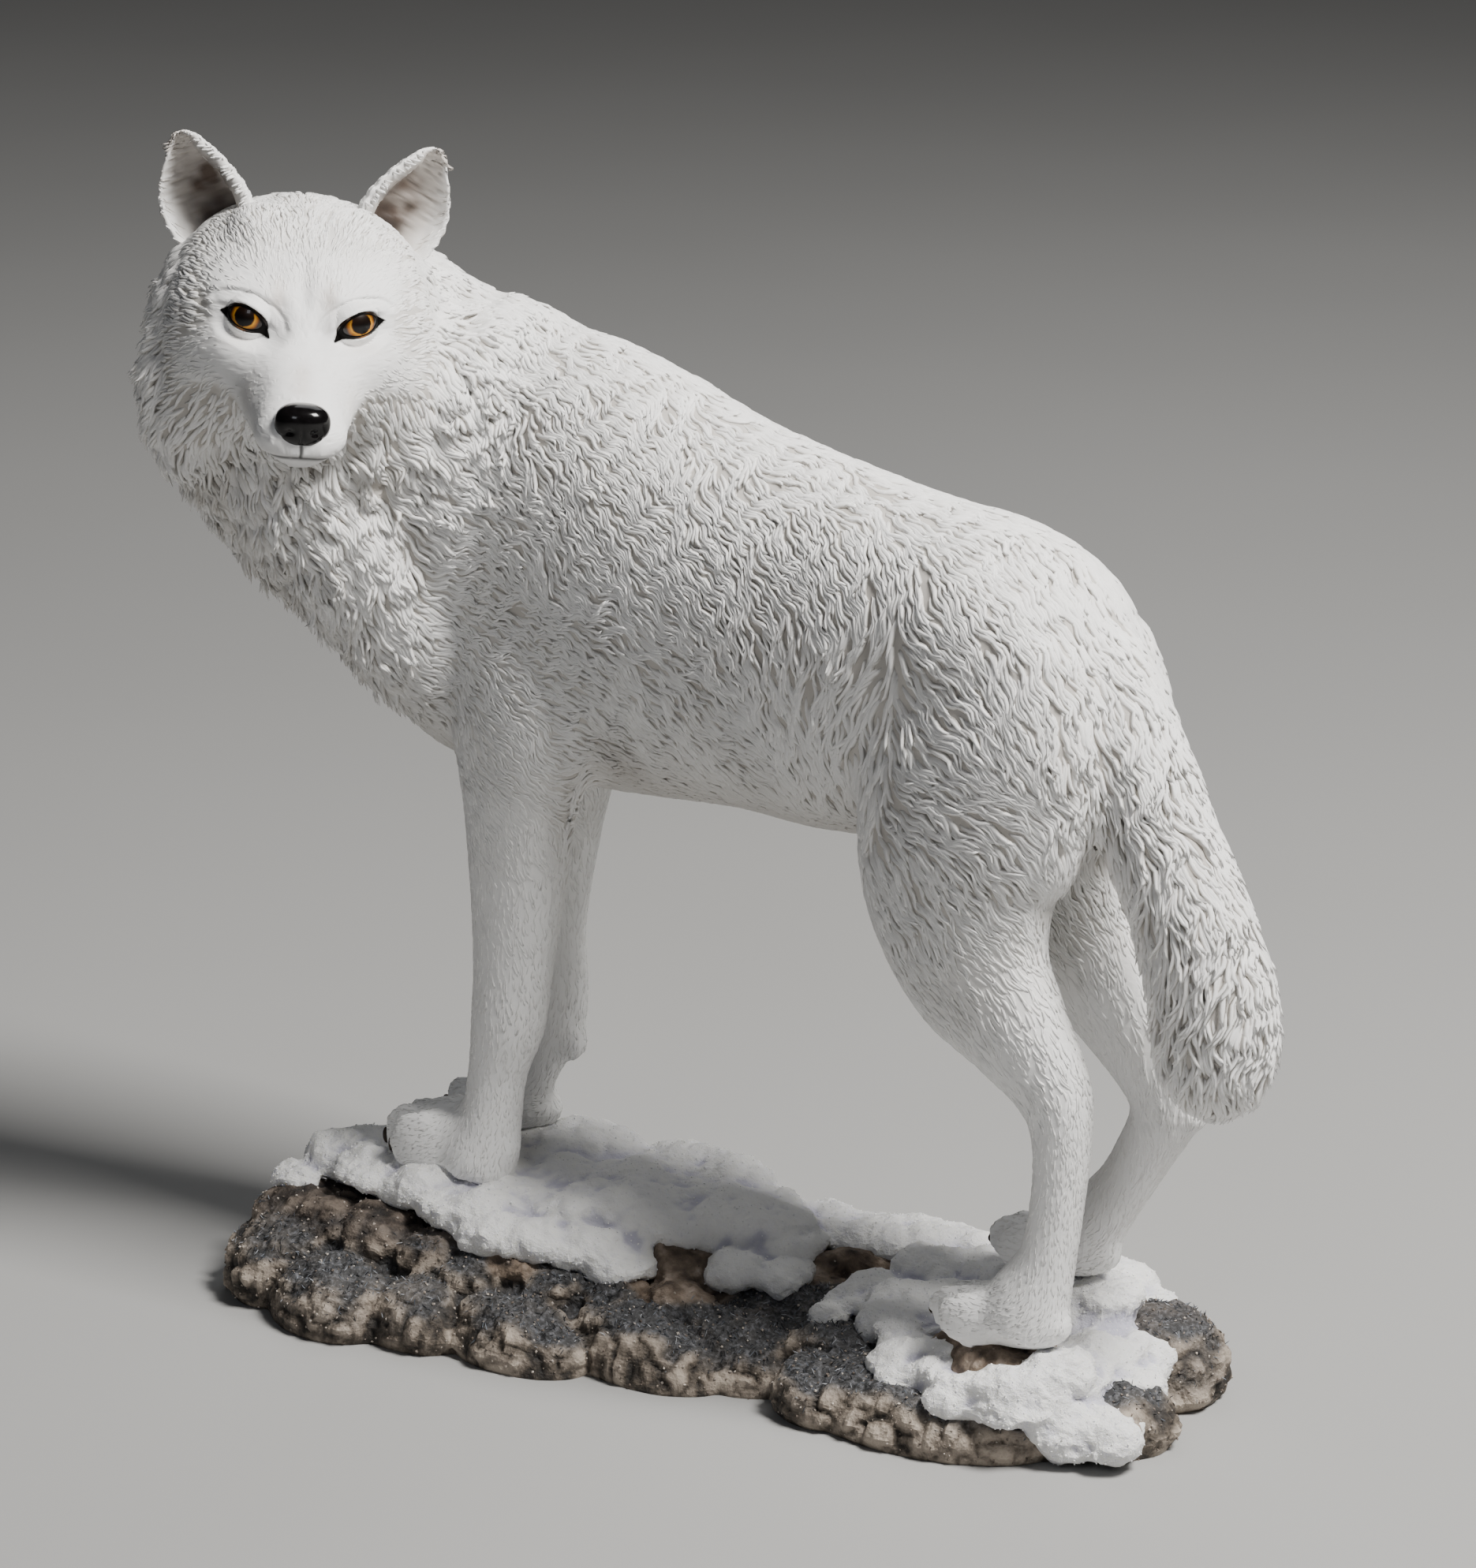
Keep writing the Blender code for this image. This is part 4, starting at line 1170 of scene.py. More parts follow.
def make_skin(table):
    """One skin for the whole wolf, drawn in by the depth of the coat, with the face cut into it."""
    body = [tube(TRUNK, upright=True)]
    body += [tube(form) for form in (NECK, CHEST, TAIL, FORELEG, FAR_FORELEG, HINDLEG, FAR_HINDLEG)]
    for foot in PAWS:
        body += paw(foot)
    body += [lump(*form) for form in (HOCK, WRIST, NAPE)]
    head = [tube([(x, 0, z, *size) for x, z, *size in form], upright=True) for form in (SKULL, MUZZLE)]
    for place, size in (CHEEK, CROWN):
        head += [lump(np.multiply(place, (1, side, 1)), size) for side in (1, -1)]
    shapes = [(points + SHIFT, faces) for points, faces in body]
    shapes += [(from_head(points), faces) for points, faces in head]
    piece = fused("wolf_skin", shapes, SKIN_VOXEL, rounds=4)
    soften_face(surface_of(piece), rounds=9)
    # The face is split twice, so that lids and lips have points enough to be shaped.
    finer(piece, lambda middles: near_face(to_head(middles), x_from=4.0, reach=42))
    finer(piece, lambda middles: near_face(to_head(middles), x_from=9.5, reach=35))
    surface = surface_of(piece)
    soften_face(surface, rounds=8)
    part_toes(surface)
    depth = coat_at(surface.points, table)[:, 5]
    surface.points = surface.points - surface.normals * depth[:, None]
    q = to_head(surface.points)
    near = near_face(q, x_from=-2)
    q[near] = sculpt_face(q[near])
    surface.points = np.where(near[:, None], from_head(q), surface.points)
    refresh(surface)
    lay_coat(surface, table)
    raise_tufts(surface)
    strokes = streaks(surface, rounds=7, seed=3)
    q = to_head(surface.points)
    fine = ease(10, 14, q[:, 0]) * ease(37, 31, from_face(q))
    keep = 1 - 0.8 * sum(mouth_masks(q)).clip(0, 1)
    strokes = averaged(surface, strokes[:, None], rounds=1, share=0.6)[:, 0]
    surface.points = surface.points + surface.normals * (0.03 * strokes * fine * keep)[:, None]
    refresh(surface)
    surface.tint = markings(surface.points, surface.normals)
    # The skin shows between the locks: painted darker where the coat is deep, as painted shade in the
    # grooves, with fine strokes on the face.
    rise = 0.97 - 0.6 * ease(0.12, 0.9, surface.depth) + 0.08 * strokes * fine
    put(piece, rise=rise.clip(0, 1), tone=np.full(len(rise), 0.5), tint=surface.tint)
    return piece, surface


BODY_NODES = (
    "head", "neck", "trunk", "tail", "foreleg_left", "foreleg_right", "hindleg_left", "hindleg_right",
    "forepaw_left", "forepaw_right", "hindpaw_left", "hindpaw_right",
)  # fmt: skip
TABLE = anchors()
SKIN, HIDE = make_skin(TABLE)
dressed(SKIN, COAT_PAINT, "coat_paint", *BODY_NODES)


# ======== eyes, rims, nose
def height_on_skin(u, v, around):
    """Height of the skin over an eye's own plane: the log of the mean of exp(4 w), weighted by nearness."""
    gap = (u[:, None] - around[:, 0]) ** 2 + (v[:, None] - around[:, 1]) ** 2
    weight = np.exp(-gap / (2 * 0.35**2)) + 1e-12
    return np.log((weight * np.exp(4 * around[:, 2])).sum(1) / weight.sum(1)) / 4


def rim_outline(t):
    """Inner and outer edge of the painted rim: an oval, and an almond with a point at each corner."""
    c, s = np.cos(t), np.sin(t)
    inner = np.stack([3.5 * c, np.where(s > 0, 1.7, 2.3) * s], 1)
    u = EYE_HALF * c
    top, bottom = almond(u)
    return inner, np.stack([u, np.where(s > 0, top, bottom)], 1)


def eye_rims():
    """Both black rims: a ribbon from the oval opening to the almond, laid on the lids with a slight bead."""
    shapes = []
    count, steps = 96, 8
    t = np.arange(count) * 2 * np.pi / count
    for side in (1, -1):
        local = in_eye(to_head(HIDE.points), side)
        around = local[(local[:, 2] > -3) & (np.hypot(local[:, 0], local[:, 1]) < 9)]
        inner, outer = rim_outline(t)
        s = np.linspace(0, 1, steps)
        flat = inner[:, None] * (1 - s)[None, :, None] + outer[:, None] * s[None, :, None]
        u, v = flat[..., 0].ravel(), flat[..., 1].ravel()
        ball = eyeball_height(u, v, reach=0.97)
        skin = height_on_skin(u, v, around)
        share = np.tile(s, count)
        w = ball - 0.1 + (np.maximum(skin, ball) + 0.14 - ball + 0.1) * ease(0, 0.3, share)
        w = w - 0.16 * ease(0.85, 1.0, share)
        top = np.stack([u, v, w], 1).reshape(count, steps, 3)
        low = top[:, ::-1][:, ::3] - (0, 0, 0.9)
        ring = np.concatenate([top, low], 1)
        here = np.arange(ring.shape[0] * ring.shape[1]).reshape(ring.shape[:2])
        on, up = np.roll(here, -1, 0), np.roll(here, -1, 1)
        both = np.roll(on, -1, 1)
        faces = [np.stack([here, on, both, up], -1).reshape(-1, 4)]
        shapes.append((from_eye(ring.reshape(-1, 3), side), flipped(faces) if side > 0 else faces))
    return new_piece("eye_rims", *joined(shapes))


def eyeball(side, word):
    """Sphere about the eye's axis: rings at angle b from the front, with sin b kept for the paint."""
    rows, sides = 44, 64
    b = (np.arange(1, rows) / rows * np.pi)[:, None] ** 1.15 * np.pi**-0.15
    a = np.arange(sides) * 2 * np.pi / sides
    ball = np.stack([np.sin(b) * np.cos(a), np.sin(b) * np.sin(a), np.cos(b) + 0 * a], -1)
    local = np.vstack([ball.reshape(-1, 3), (0, 0, 1), (0, 0, -1)])
    faces = closed_grid(ball)
    points = from_eye(local * EYE_RADIUS, side)
    piece = new_piece("eyeball_" + word, points, flipped(faces) if side < 0 else faces)
    across = np.where(local[:, 2] > 0, np.hypot(local[:, 0], local[:, 1]), 1.0)
    spokes = np.hstack([unit(local[:, :2]) * 6, across[:, None] * 1.5])
    put(piece, across=across, high=local[:, 1], spoke=grain(spokes, 0.55, 5))
    return piece


def nose_pad():
    """Pad about the muzzle's axis: depth 4.3 cos b, outline |y|^2.6 + |z|^2.6 = 1, nostrils and cleft."""
    rows, sides = 60, 96
    b = (np.arange(1, rows) / rows * 2.3)[:, None]
    a = np.arange(sides) * 2 * np.pi / sides
    c, s = np.cos(a), np.sin(a)
    reach = (np.abs(c) ** 2.6 + np.abs(s) ** 2.6) ** (-1 / 2.6)
    tall = np.where(s > 0, 4.5, 4.9)
    wide = 5.8 * (1 - 0.16 * ease(0, 1, -s))
    swell = np.sin(np.minimum(b, np.pi / 2)) ** 0.8 * np.where(b > np.pi / 2, 0.75 + 0.25 * np.sin(b), 1)
    y = wide * reach * c * swell
    z = tall * reach * s * swell
    x = np.where(b < np.pi / 2, 4.3, 4.0) * np.cos(b) + 0.12 * z
    face = ease(np.pi / 2, 1.2, b)
    x = x - 0.45 * bell(y, 0.38) * ease(0.5, -2, z) * face
    for side in (1, -1):
        u, v = y * side - 2.7, z + 1.0
        hole = bell(np.hypot(u / 1.1, v / 0.8), 1.0)
        tail = bell((v + 0.5 * u + 0.35) / 0.35, 1.0) * ease(0.2, 1.2, u) * ease(3.1, 2.4, u)
        x = x - (0.8 * hole + 0.3 * tail) * face
    grid = np.stack([x, y, z], -1)
    ends = ((4.2, 0, 0), (-3.7, 0, 0))
    points = from_head(np.vstack([grid.reshape(-1, 3), *ends]) + NOSE)
    return new_piece("nose_pad", points, closed_grid(grid))


CLAW = np.array((1.1, 0.5, 0.006))  # half sizes forward and across, and half height for each foot height^2


def claws():
    """A claw let into the front of each toe: an upright ellipsoid, narrow across the toe."""
    shapes = []
    for foot in PAWS:
        heel, along, yaw, across = foot_frame(foot)
        height = foot[2]
        further = 0.035 if heel[0] < 0 else 0.0  # the forefeet's stand out more
        for place, far in TOES:
            centre = heel + (far + further) * along + 1.02 * place * across + (0, 0, 0.33 * height)
            points, faces = lump(centre, CLAW * (1, 1, height**2), yaw + 0.25 * place, sides=14, rows=8)
            shapes.append((points + SHIFT, faces))
    return new_piece("claws", *joined(shapes))


for side, word in SIDES:
    dressed(eyeball(side, word), EYE_PAINT, "eye_gloss", "eye_" + word)
dressed(eye_rims(), RIM_PAINT, "eye_gloss")
dressed(nose_pad(), NOSE_PAINT, "nose_gloss", "nose")
dressed(claws(), CLAW_PAINT, "nose_gloss")


# ======== ears
# Up the ear: depth of the cup, half breadth, drift of its middle outwards.
EAR = (
    (-4, 5.4, 8.0, -1.8),
    (0, 6.8, 9.2, -1.5),
    (4, 7.4, 10.1, -1.1),
    (9, 7.0, 10.3, -0.8),
    (13, 6.0, 9.3, -0.8),
    (17, 4.8, 7.4, -1.2),
    (20.2, 3.5, 5.2, -1.7),
    (22.6, 2.3, 3.3, -2.1),
    (24.0, 1.1, 1.4, -2.3),
)
EAR_ROOT = np.array((-9.0, 18.0, 11.0))
EAR_WALL = 1.3


def ear_axes(side):
    """An ear's facing, outward and upward ways as rows in the head's frame."""
    up = unit(np.array((-3.5, 9.0 * side, 18.5)))
    out = np.array((-7.5, 15.5 * side, -14.0))
    out = unit(out - out @ up * up)
    return np.stack([np.cross(out, up) * side, out, up])


def ear_shell(side, word):
    """A cup: back wall (-depth cos a, breadth sin a), and an inner wall that runs back inside it."""
    rows = between(EAR, 8)
    height, thick, broad, drift = (rows[:, k : k + 1] for k in range(4))
    a = np.linspace(-np.pi / 2, np.pi / 2, 40)
    inner = a[::-1][1:-1]
    edge = 0.8 + 2.4 * ease(0.2, 1.0, -np.sin(inner)) * ease(25, 18, height)
    outline = 1 + 0.02 * np.sin(2.1 * height) * np.abs(np.sin(a)) ** 4
    cup = 0.2 * thick * np.abs(np.sin(a)) ** 3 - thick * np.cos(a)
    back = np.stack([cup, broad * outline * np.sin(a)], -1)
    hollow = np.clip(thick - EAR_WALL, 0.15, None) * ease(-1, 3, height)
    fold = 0.9 * bell(height - 6 - 4 * np.sin(inner), 1.3)
    fold = fold + 0.8 * bell(height - 11.5 - 3 * np.sin(inner), 1.2)
    fold = fold * ease(0, 0.6, np.cos(inner)) * ease(0.9, 0.1, np.sin(inner))
    lip = 0.2 * thick * np.abs(np.sin(inner)) ** 3
    front = np.stack([0.3 + lip + fold - hollow * np.cos(inner), (broad - edge) * np.sin(inner)], -1)
    ring = np.concatenate([back, front], 1)
    ring = np.dstack([ring, np.repeat(height, ring.shape[1], 1)])
    ring[..., 0] += 0.003 * ring[..., 2] ** 2
    ring[..., 1] += drift
    ends = (ring[0].mean(0), ring[-1].mean(0) + (0, 0, 0.4))
    local = np.vstack([ring.reshape(-1, 3), *ends])
    faces = closed_grid(ring)
    points = from_head(local @ ear_axes(side) + EAR_ROOT * (1, side, 1))
    return new_piece("ear_shell_" + word, points, flipped(faces) if side < 0 else faces), local


def outward(piece):
    """Turn a closed piece's faces outwards."""
    bm = bmesh.new()
    bm.from_mesh(piece.data)
    bmesh.ops.recalc_face_normals(bm, faces=bm.faces)
    bm.to_mesh(piece.data)
    bm.free()


def ear_tint(across, height, within, points):
    """White rims, a soft brown hollow darkened towards its root as painted shade, and a broken dark line of
    painted shade inside the front edge.
    """
    ragged = 1 + 0.5 * grain(points, 3.0, 91)
    deep = within * ease(0.8, 0.2, np.abs(across + 0.05)) * ease(22, 14, height) * ragged
    line = bell(across + 0.7, 0.12) * ease(7, 11, height) * ease(21, 17, height) * within * ragged
    return washed(
        np.ones((len(height), 3)),
        (linear("#A3917F"), 0.5 * within * ease(1.0, 0.6, np.abs(across))),
        (linear("#5E4E43"), 0.95 * deep),
        # Painted shade: darkest at the root of the hollow.
        (linear("#2E2520"), 0.9 * within * bell(height - 4, 5.0) * bell(across - 0.05, 0.45) * ragged),
        # Painted shade of a fold: a dark line inside the front edge.
        (linear("#54463E"), 0.75 * line),
    )


def dress_ear(side, word):
    """Paint an ear and grow its short hair: up the back, and from the inner edge across the hollow."""
    piece, local = ear_shell(side, word)
    outward(piece)
    surface = surface_of(piece)
    axes = ear_axes(side)
    height = local[:, 2]
    rows = np.array(EAR, float).T
    across = (local[:, 1] - np.interp(height, rows[0], rows[3])) / np.interp(height, rows[0], rows[2])
    within = ease(-0.1, 0.5, (surface.normals @ HEAD) @ axes[0])
    inside, level = within > 0.5, np.ones(len(height))
    fanned = np.stack([0.1 * level, 0.8 * level, 0.15 + 0.5 * across.clip(-0.5, 1)], 1)
    upwards = np.stack([0 * level, -0.4 * across, level], 1)
    way = np.where(inside[:, None], fanned, upwards) @ axes @ HEAD.T
    surface.way = surface.straight = laid(way, surface.normals)
    rim = ease(0.72, 0.98, np.abs(across))
    surface.length = np.where(inside, 5.6, 3.0) * (1 - 0.35 * rim) - 0.05 * height
    surface.breadth = np.where(inside, 0.6, 0.5) * level
    surface.depth = np.where(inside, 0.35, 0.15) * (1 - 0.5 * rim)
    surface.tint = ear_tint(across, height, within, surface.points)
    strokes = streaks(surface, rounds=6, seed=6)
    surface.points = surface.points + surface.normals * (0.16 * strokes * inside * (1 - rim))[:, None]
    refresh(surface)
    put(piece, rise=(0.8 + 0.12 * strokes).clip(0, 1), tone=0.5 * level, tint=surface.tint)
    dressed(piece, COAT_PAINT, "ear_paint", "ear_" + word)
    surface.chart = charted(piece)
    hollow = ease(0.95, 0.6, np.abs(across)) * ease(24, 19, height)
    cover = np.where(inside, 1.1 * (1 - hollow), 1.3) * ease(-3, 0, height) * (1 - 0.7 * rim)
    roots = spread_roots(surface, locks_wanted(surface, cover), 40 + side)
    hair = locks(surface, roots, stations=5, lift=0.1, seed=50 + side)
    hair.rise = 0.45 + 0.55 * hair.rise
    dressed(coat_piece("coat_ear_" + word, [hair], surface), COAT_PAINT, "ear_paint")


for side, word in SIDES:
    dress_ear(side, word)


# ======== coat
HIDE.chart = charted(SKIN)


def bare_share(q):
    """Where no hair grows, from 0 to 1: the eyes with their rims, the nose pad and the mouth's grooves."""
    bare = np.zeros(len(q))
    for side in (1, -1):
        u, v, w = in_eye(q, side).T
        bare = np.maximum(bare, ease(1.45, 1.15, lid_share(u, v)) * (w > -3))
    nose = np.linalg.norm((q - NOSE) / (4.5, 6.6, 5.6), axis=1)
    bare = np.maximum(bare, ease(1.1, 0.95, nose))
    groove, _, philtrum = mouth_masks(q)
    return np.maximum(bare, ease(0.3, 0.5, groove + philtrum)) * near_face(q)


def cover_of(q, body):
    """How many times over the hair covers the skin: more where it is deep, less on legs, face and ruff."""
    limb = ease(122, 100, body[:, 2]) * (1 - ease(96, 104, body[:, 0]))
    cover = 1.7 + 1.2 * ease(0.4, 0.8, HIDE.depth) - 1.02 * limb
    shown = ease(6, 14, q[:, 0]) * ease(44, 36, from_face(q))
    return cover + (1.3 * ease(0.08, 0.4, HIDE.depth) - cover) * shown


COAT_PIECES = (
    "coat_face", "coat_head", "coat_tail", "coat_foreleg_left", "coat_foreleg_right", "coat_hindleg_left",
    "coat_hindleg_right", "coat_ruff_left", "coat_ruff_right", "coat_flank_left", "coat_flank_right",
    "coat_haunch_left", "coat_haunch_right",
)  # fmt: skip


def piece_of(q, body):
    """The number in COAT_PIECES of the piece that each root belongs to; the wolf's left is at y < 0."""
    x, y, z = body.T
    head = (q[:, 0] > -16) & (np.linalg.norm(q - (10, 0, -8), axis=1) < 46)
    tail = (x > 90) & ~((z < 80) & (np.abs(y + 3) > 13)) & (z > 58) & (x > 102 - 0.25 * (z - 100).clip(0))
    leg = (z < 122) & ~tail
    fore, ruff, flank, left = x < 0, x < -52, x < 20, y < 0
    return np.select(
        [head & (q[:, 0] > 8), head, tail, leg & fore & left, leg & fore, leg & left, leg,
         ruff & left, ruff, flank & left, flank, left],
        range(12), 12,
    )  # fmt: skip


TUFT = 5  # ridges in each tuft of the ruff
FLAT_HAIR, SHORT_HAIR = 3.6, 6.0  # the longest locks of each kind


def grow_coat():
    """Locks over the whole skin, from short and flat to long and waved, in pieces by where they start."""
    body = HIDE.points - SHIFT
    q = to_head(HIDE.points)
    bare = bare_share(q)
    feet = ease(30, 24, body[:, 2])
    cover = cover_of(q, body) * (1 - 0.25 * (ruff_share(HIDE) * (1 - bare)))
    roots = spread_roots(HIDE, locks_wanted(HIDE, cover) * (1 - bare) * (1 - feet), 21)
    # Over the ruff lies a second layer of thick tufts, one on each of the skin's tiles.
    hanging = HIDE.tufts[bare[HIDE.tufts] < 0.5]
    of_roots, of_hanging = (piece_of(q[some], body[some]) for some in (roots, hanging))
    for number, name in enumerate(COAT_PIECES):
        mine, tufts = roots[of_roots == number], hanging[of_hanging == number]
        size = HIDE.length[mine]
        parts = []
        for some, stations, lift, fan in (
            (mine[size < FLAT_HAIR], 5, 0.0, 1),
            (mine[(size >= FLAT_HAIR) & (size < SHORT_HAIR)], 6, 0.05, 1),
            (mine[size >= SHORT_HAIR], 7, 0.8 if name == "coat_tail" else 0.2, 1),
            (tufts, 7, 1.2, TUFT),
        ):
            if len(some):
                parts.append(locks(HIDE, some, stations, lift, 100 + 7 * number + stations, fan))
        dressed(coat_piece(name, parts, HIDE), COAT_PAINT, "face_paint" if number == 0 else "coat_paint")


grow_coat()


# ======== rock and snow
# Each lump, in the body's frame: centre, half sizes, turn in degrees.
ROCKS = (
    ((-76, -45, 3), (20, 16, 12), -10),
    ((-96, -35, 6), (17, 19, 12.5), 0),
    ((-98, -20, 10), (13, 17, 10.5), 0),
    ((-56, -43, 2), (15, 12, 11), 0),
    ((-34, -38, 2), (24, 12, 11), -12),
    ((-8, -28, 2), (26, 13, 11), -12),
    ((14, -18, 2), (20, 14, 11), -15),
    ((-100, -29, 13.5), (11.5, 13.5, 9.5), 0),
    ((-90, -31, 13), (13, 12, 9), 0),
    ((-75, -32, 13), (13, 10, 9), -8),
    ((-61, -32, 12), (11, 10, 8.5), 10),
    ((-47, -32, 9.5), (11, 10, 8), 0),
    ((-33, -27, 9), (13, 11, 8), -15),
    ((-18, -22, 8), (12, 10, 7.5), 0),
    ((-3, -17, 7), (13, 9, 7.5), -10),
    ((12, -10, 7), (11, 9, 6.5), 0),
    ((-82, 0, 9), (24, 24, 13), 10),
    ((-60, -12, 8), (34, 18, 12), 0),
    ((-42, 4, 7), (44, 28, 14), 0),
    ((-20, -6, 5), (22, 16, 9), 0),
    ((0, 8, 5), (44, 26, 11), 0),
    ((22, -2, 3), (22, 18, 9), 0),
    ((38, -17, 5), (11, 9, 9.5), 0),
    ((45, -26, 4), (14, 14, 8), 20),
    ((64, -18, 3), (36, 21, 10.5), 5),
    ((66, 12, 4), (40, 26, 12), 0),
    ((92, -8, 3), (16, 17, 9.5), 0),
    ((103, -4, 3), (12, 13, 9), 0),
    ((93, 25, 6), (16, 18, 12.5), 0),
)
SNOW = (
    ((-104, -27, 22), (6.5, 5.5, 4), 0),
    ((-96, -13, 25.5), (12, 12, 5), 0),
    ((-85, -20, 26.5), (12, 12, 5), 0),
    ((-71, -20, 26.5), (14, 11, 5.5), 0),
    ((-58, -23, 24.5), (13, 11.5, 5.5), 0),
    ((-48, -26, 21.5), (9, 9.5, 4.5), 20),
    ((-39, -23, 20.5), (11, 9.5, 4.5), 0),
    ((-29, -19, 19), (10, 9, 4.5), 0),
    ((-19.5, -18, 16.5), (8, 8, 4.5), 0),
    ((-66, 8, 25.5), (28, 18, 5), 0),
    ((-36, 4, 25), (26, 18, 6), 0),
    ((-55, 14, 28), (16, 12, 5), 0),
    ((-24, 20, 26), (17, 10, 6), 0),
    ((-8, 10, 23.5), (20, 14, 5.5), 0),
    ((3, -5, 16.5), (8, 9, 4.5), 0),
    ((13, 0, 15.5), (6.5, 8.5, 4.5), 0),
    ((12, 25, 18.5), (20, 10, 5), 0),
    ((34, 29, 17.5), (18, 9, 5), 0),
    ((-50, -9, 24.5), (24, 15, 5), 0),
    ((-22, -4, 22.5), (16, 11, 5), 20),
    ((0, 8, 20), (16, 12, 5), 0),
    ((-66, -12, 26), (20, 14, 5), 0),
    ((-97, -5, 23), (10, 9, 4), 0),
    ((62, 2, 17), (22, 12, 5), 0),
    ((88, -12, 14.5), (16, 12, 5), 0),
    ((42, 17, 18.5), (11, 8, 4.5), 0),
    ((58, 22, 18.5), (18, 12, 5.5), 0),
    ((37, 6, 15), (11, 9, 4), 0),
    ((28, -5, 11.5), (4.5, 8, 3.5), 25),
    ((33, 1, 14), (9, 6, 3.5), 0),
    ((50, -1, 16.5), (14, 10, 4.5), 0),
    ((50, -11, 16.5), (5.5, 6, 4), 30),
    ((57, -20, 12.5), (6.5, 6.5, 4.5), 35),
    ((65, -27, 11.5), (9, 6, 4.5), 15),
    ((78, -29, 12), (10, 7, 4.5), 0),
    ((90, -23, 12), (13, 13, 4.5), 0),
    ((99, -22, 8), (8, 8, 5), 0),
    ((101, -20, 4.5), (6.5, 8, 4.5), 0),
    ((98, -8, 9.5), (8, 11, 4.5), 0),
    ((88, 3, 15.5), (13, 14, 5), 0),
    ((94, 16, 12), (7, 9, 4.5), 0),
    ((92, 25, 10.5), (6, 6.5, 3.5), 0),
    ((46, -10, 15.5), (5.5, 7, 5), 30),
    ((59, -20, 13.5), (9, 7.5, 5), 35),
    ((72, -24, 12.5), (12, 8, 5), 10),
    ((86, -22, 12), (13, 12, 5), 0),
    ((53, -13, 16.5), (7, 6.5, 4.5), 30),
    ((68, -19, 14.5), (11, 6, 4.5), 10),
    ((103, -13, 7.5), (9, 11, 5), 0),
    ((108, -18, 5.5), (6.5, 8, 5), 0),
    ((100, 2, 10), (8, 11, 4.5), 0),
    ((98, 14, 11), (7, 8, 4.5), 0),
    ((84, 28, 14.5), (9, 13, 5), 0),
    ((75, 36, 17), (10, 10, 5), 0),
    ((72, 16, 19), (20, 15, 5), 0),
    ((-76, 15, 26.2), (15, 11, 4.4), 0),
    ((90, -25, 15.5), (12, 8, 5), 10),
    ((96, -17, 18.8), (8.5, 9, 4.8), 0),
    ((76, -29, 14), (9, 5, 4.5), -10),
    ((73, 16, 21.6), (18, 10, 4.8), 0),
    ((85, 17, 22.2), (9, 9, 4.8), 0),
)
# Bare stones that stand clear of the snow: centre, half sizes, turn, and the flats that cut each one.
STONES = (
    (
        (-9, -10, 13.5), (14, 12, 12), -25,
        (((0.2, -0.9, 0.4), 0.4), ((0.6, 0, 0.8), 0.3), ((-0.95, -0.25, 0.15), 0.5)),
    ),  # fmt: skip
    ((20, 13, 10.5), (17, 8, 9), 47, (((0.1, -0.9, 0.5), 0.55), ((-0.8, -0.3, 0.5), 0.75))),
    ((-39, -31, 16.5), (6, 4.5, 3.2), -15, (((0, -0.8, 0.6), 0.6), ((0, 0, 1), 0.7))),
    ((74, 25, 17.5), (8, 6.5, 6), 10, (((0.2, -0.7, 0.7), 0.8),)),
    ((81, -15.5, 17.2), (19, 11, 5.2), 0, (((0, 0, 1), 0.84), ((-0.5, -0.8, 0.3), 0.8))),
)


def lumps(table):
    """The ellipsoids of a table, in the shared frame."""
    shapes = [lump(np.array(centre, float), size, math.radians(turn)) for centre, size, turn in table]
    return [(points + SHIFT, faces) for points, faces in shapes]


def faceted(centre, size, turn, flats):
    """An ellipsoid with everything beyond each flat pressed back onto it, as p - max(0, p.n - d) n."""
    points, faces = lump((0, 0, 0), (1, 1, 1), sides=48, rows=30)
    for way, reach in flats:
        way = unit(np.array(way, float))
        points = points - np.maximum(points @ way - reach, 0)[:, None] * way
    return (points * size) @ turning(math.radians(turn), 2).T + centre + SHIFT, faces


def wandered(shapes, size, by, seed):
    """Shapes with every point drifted sideways by slow noise, so that their outlines wander."""
    found = []
    for points, faces in shapes:
        drift = np.stack([grain(points * (1, 1, 0.3), size, seed + k) for k in range(3)], 1)
        found.append((points + drift * (by, by, 0.35 * by), faces))
    return found


def cut_at_ground(piece):
    """Keep what is above the ground, closed with a flat underside."""
    bm = bmesh.new()
    bm.from_mesh(piece.data)
    every = [*bm.verts, *bm.edges, *bm.faces]
    cut = bmesh.ops.bisect_plane(bm, geom=every, plane_co=(0, 0, 0), plane_no=(0, 0, -1), clear_outer=True)
    edges = [item for item in cut["geom_cut"] if isinstance(item, bmesh.types.BMEdge)]
    bmesh.ops.holes_fill(bm, edges=edges, sides=0)
    bm.to_mesh(piece.data)
    bm.free()


def hollows(surface, rounds):
    """How far each point lies under the mean of what is round it: above 0 in creases, below 0 on swells."""
    soft = averaged(surface, surface.points, rounds, share=0.7)
    return ((soft - surface.points) * surface.normals).sum(1)


WIDE_ROUNDS = 40  # of averaging, to find the hollows between boulders and between drifts


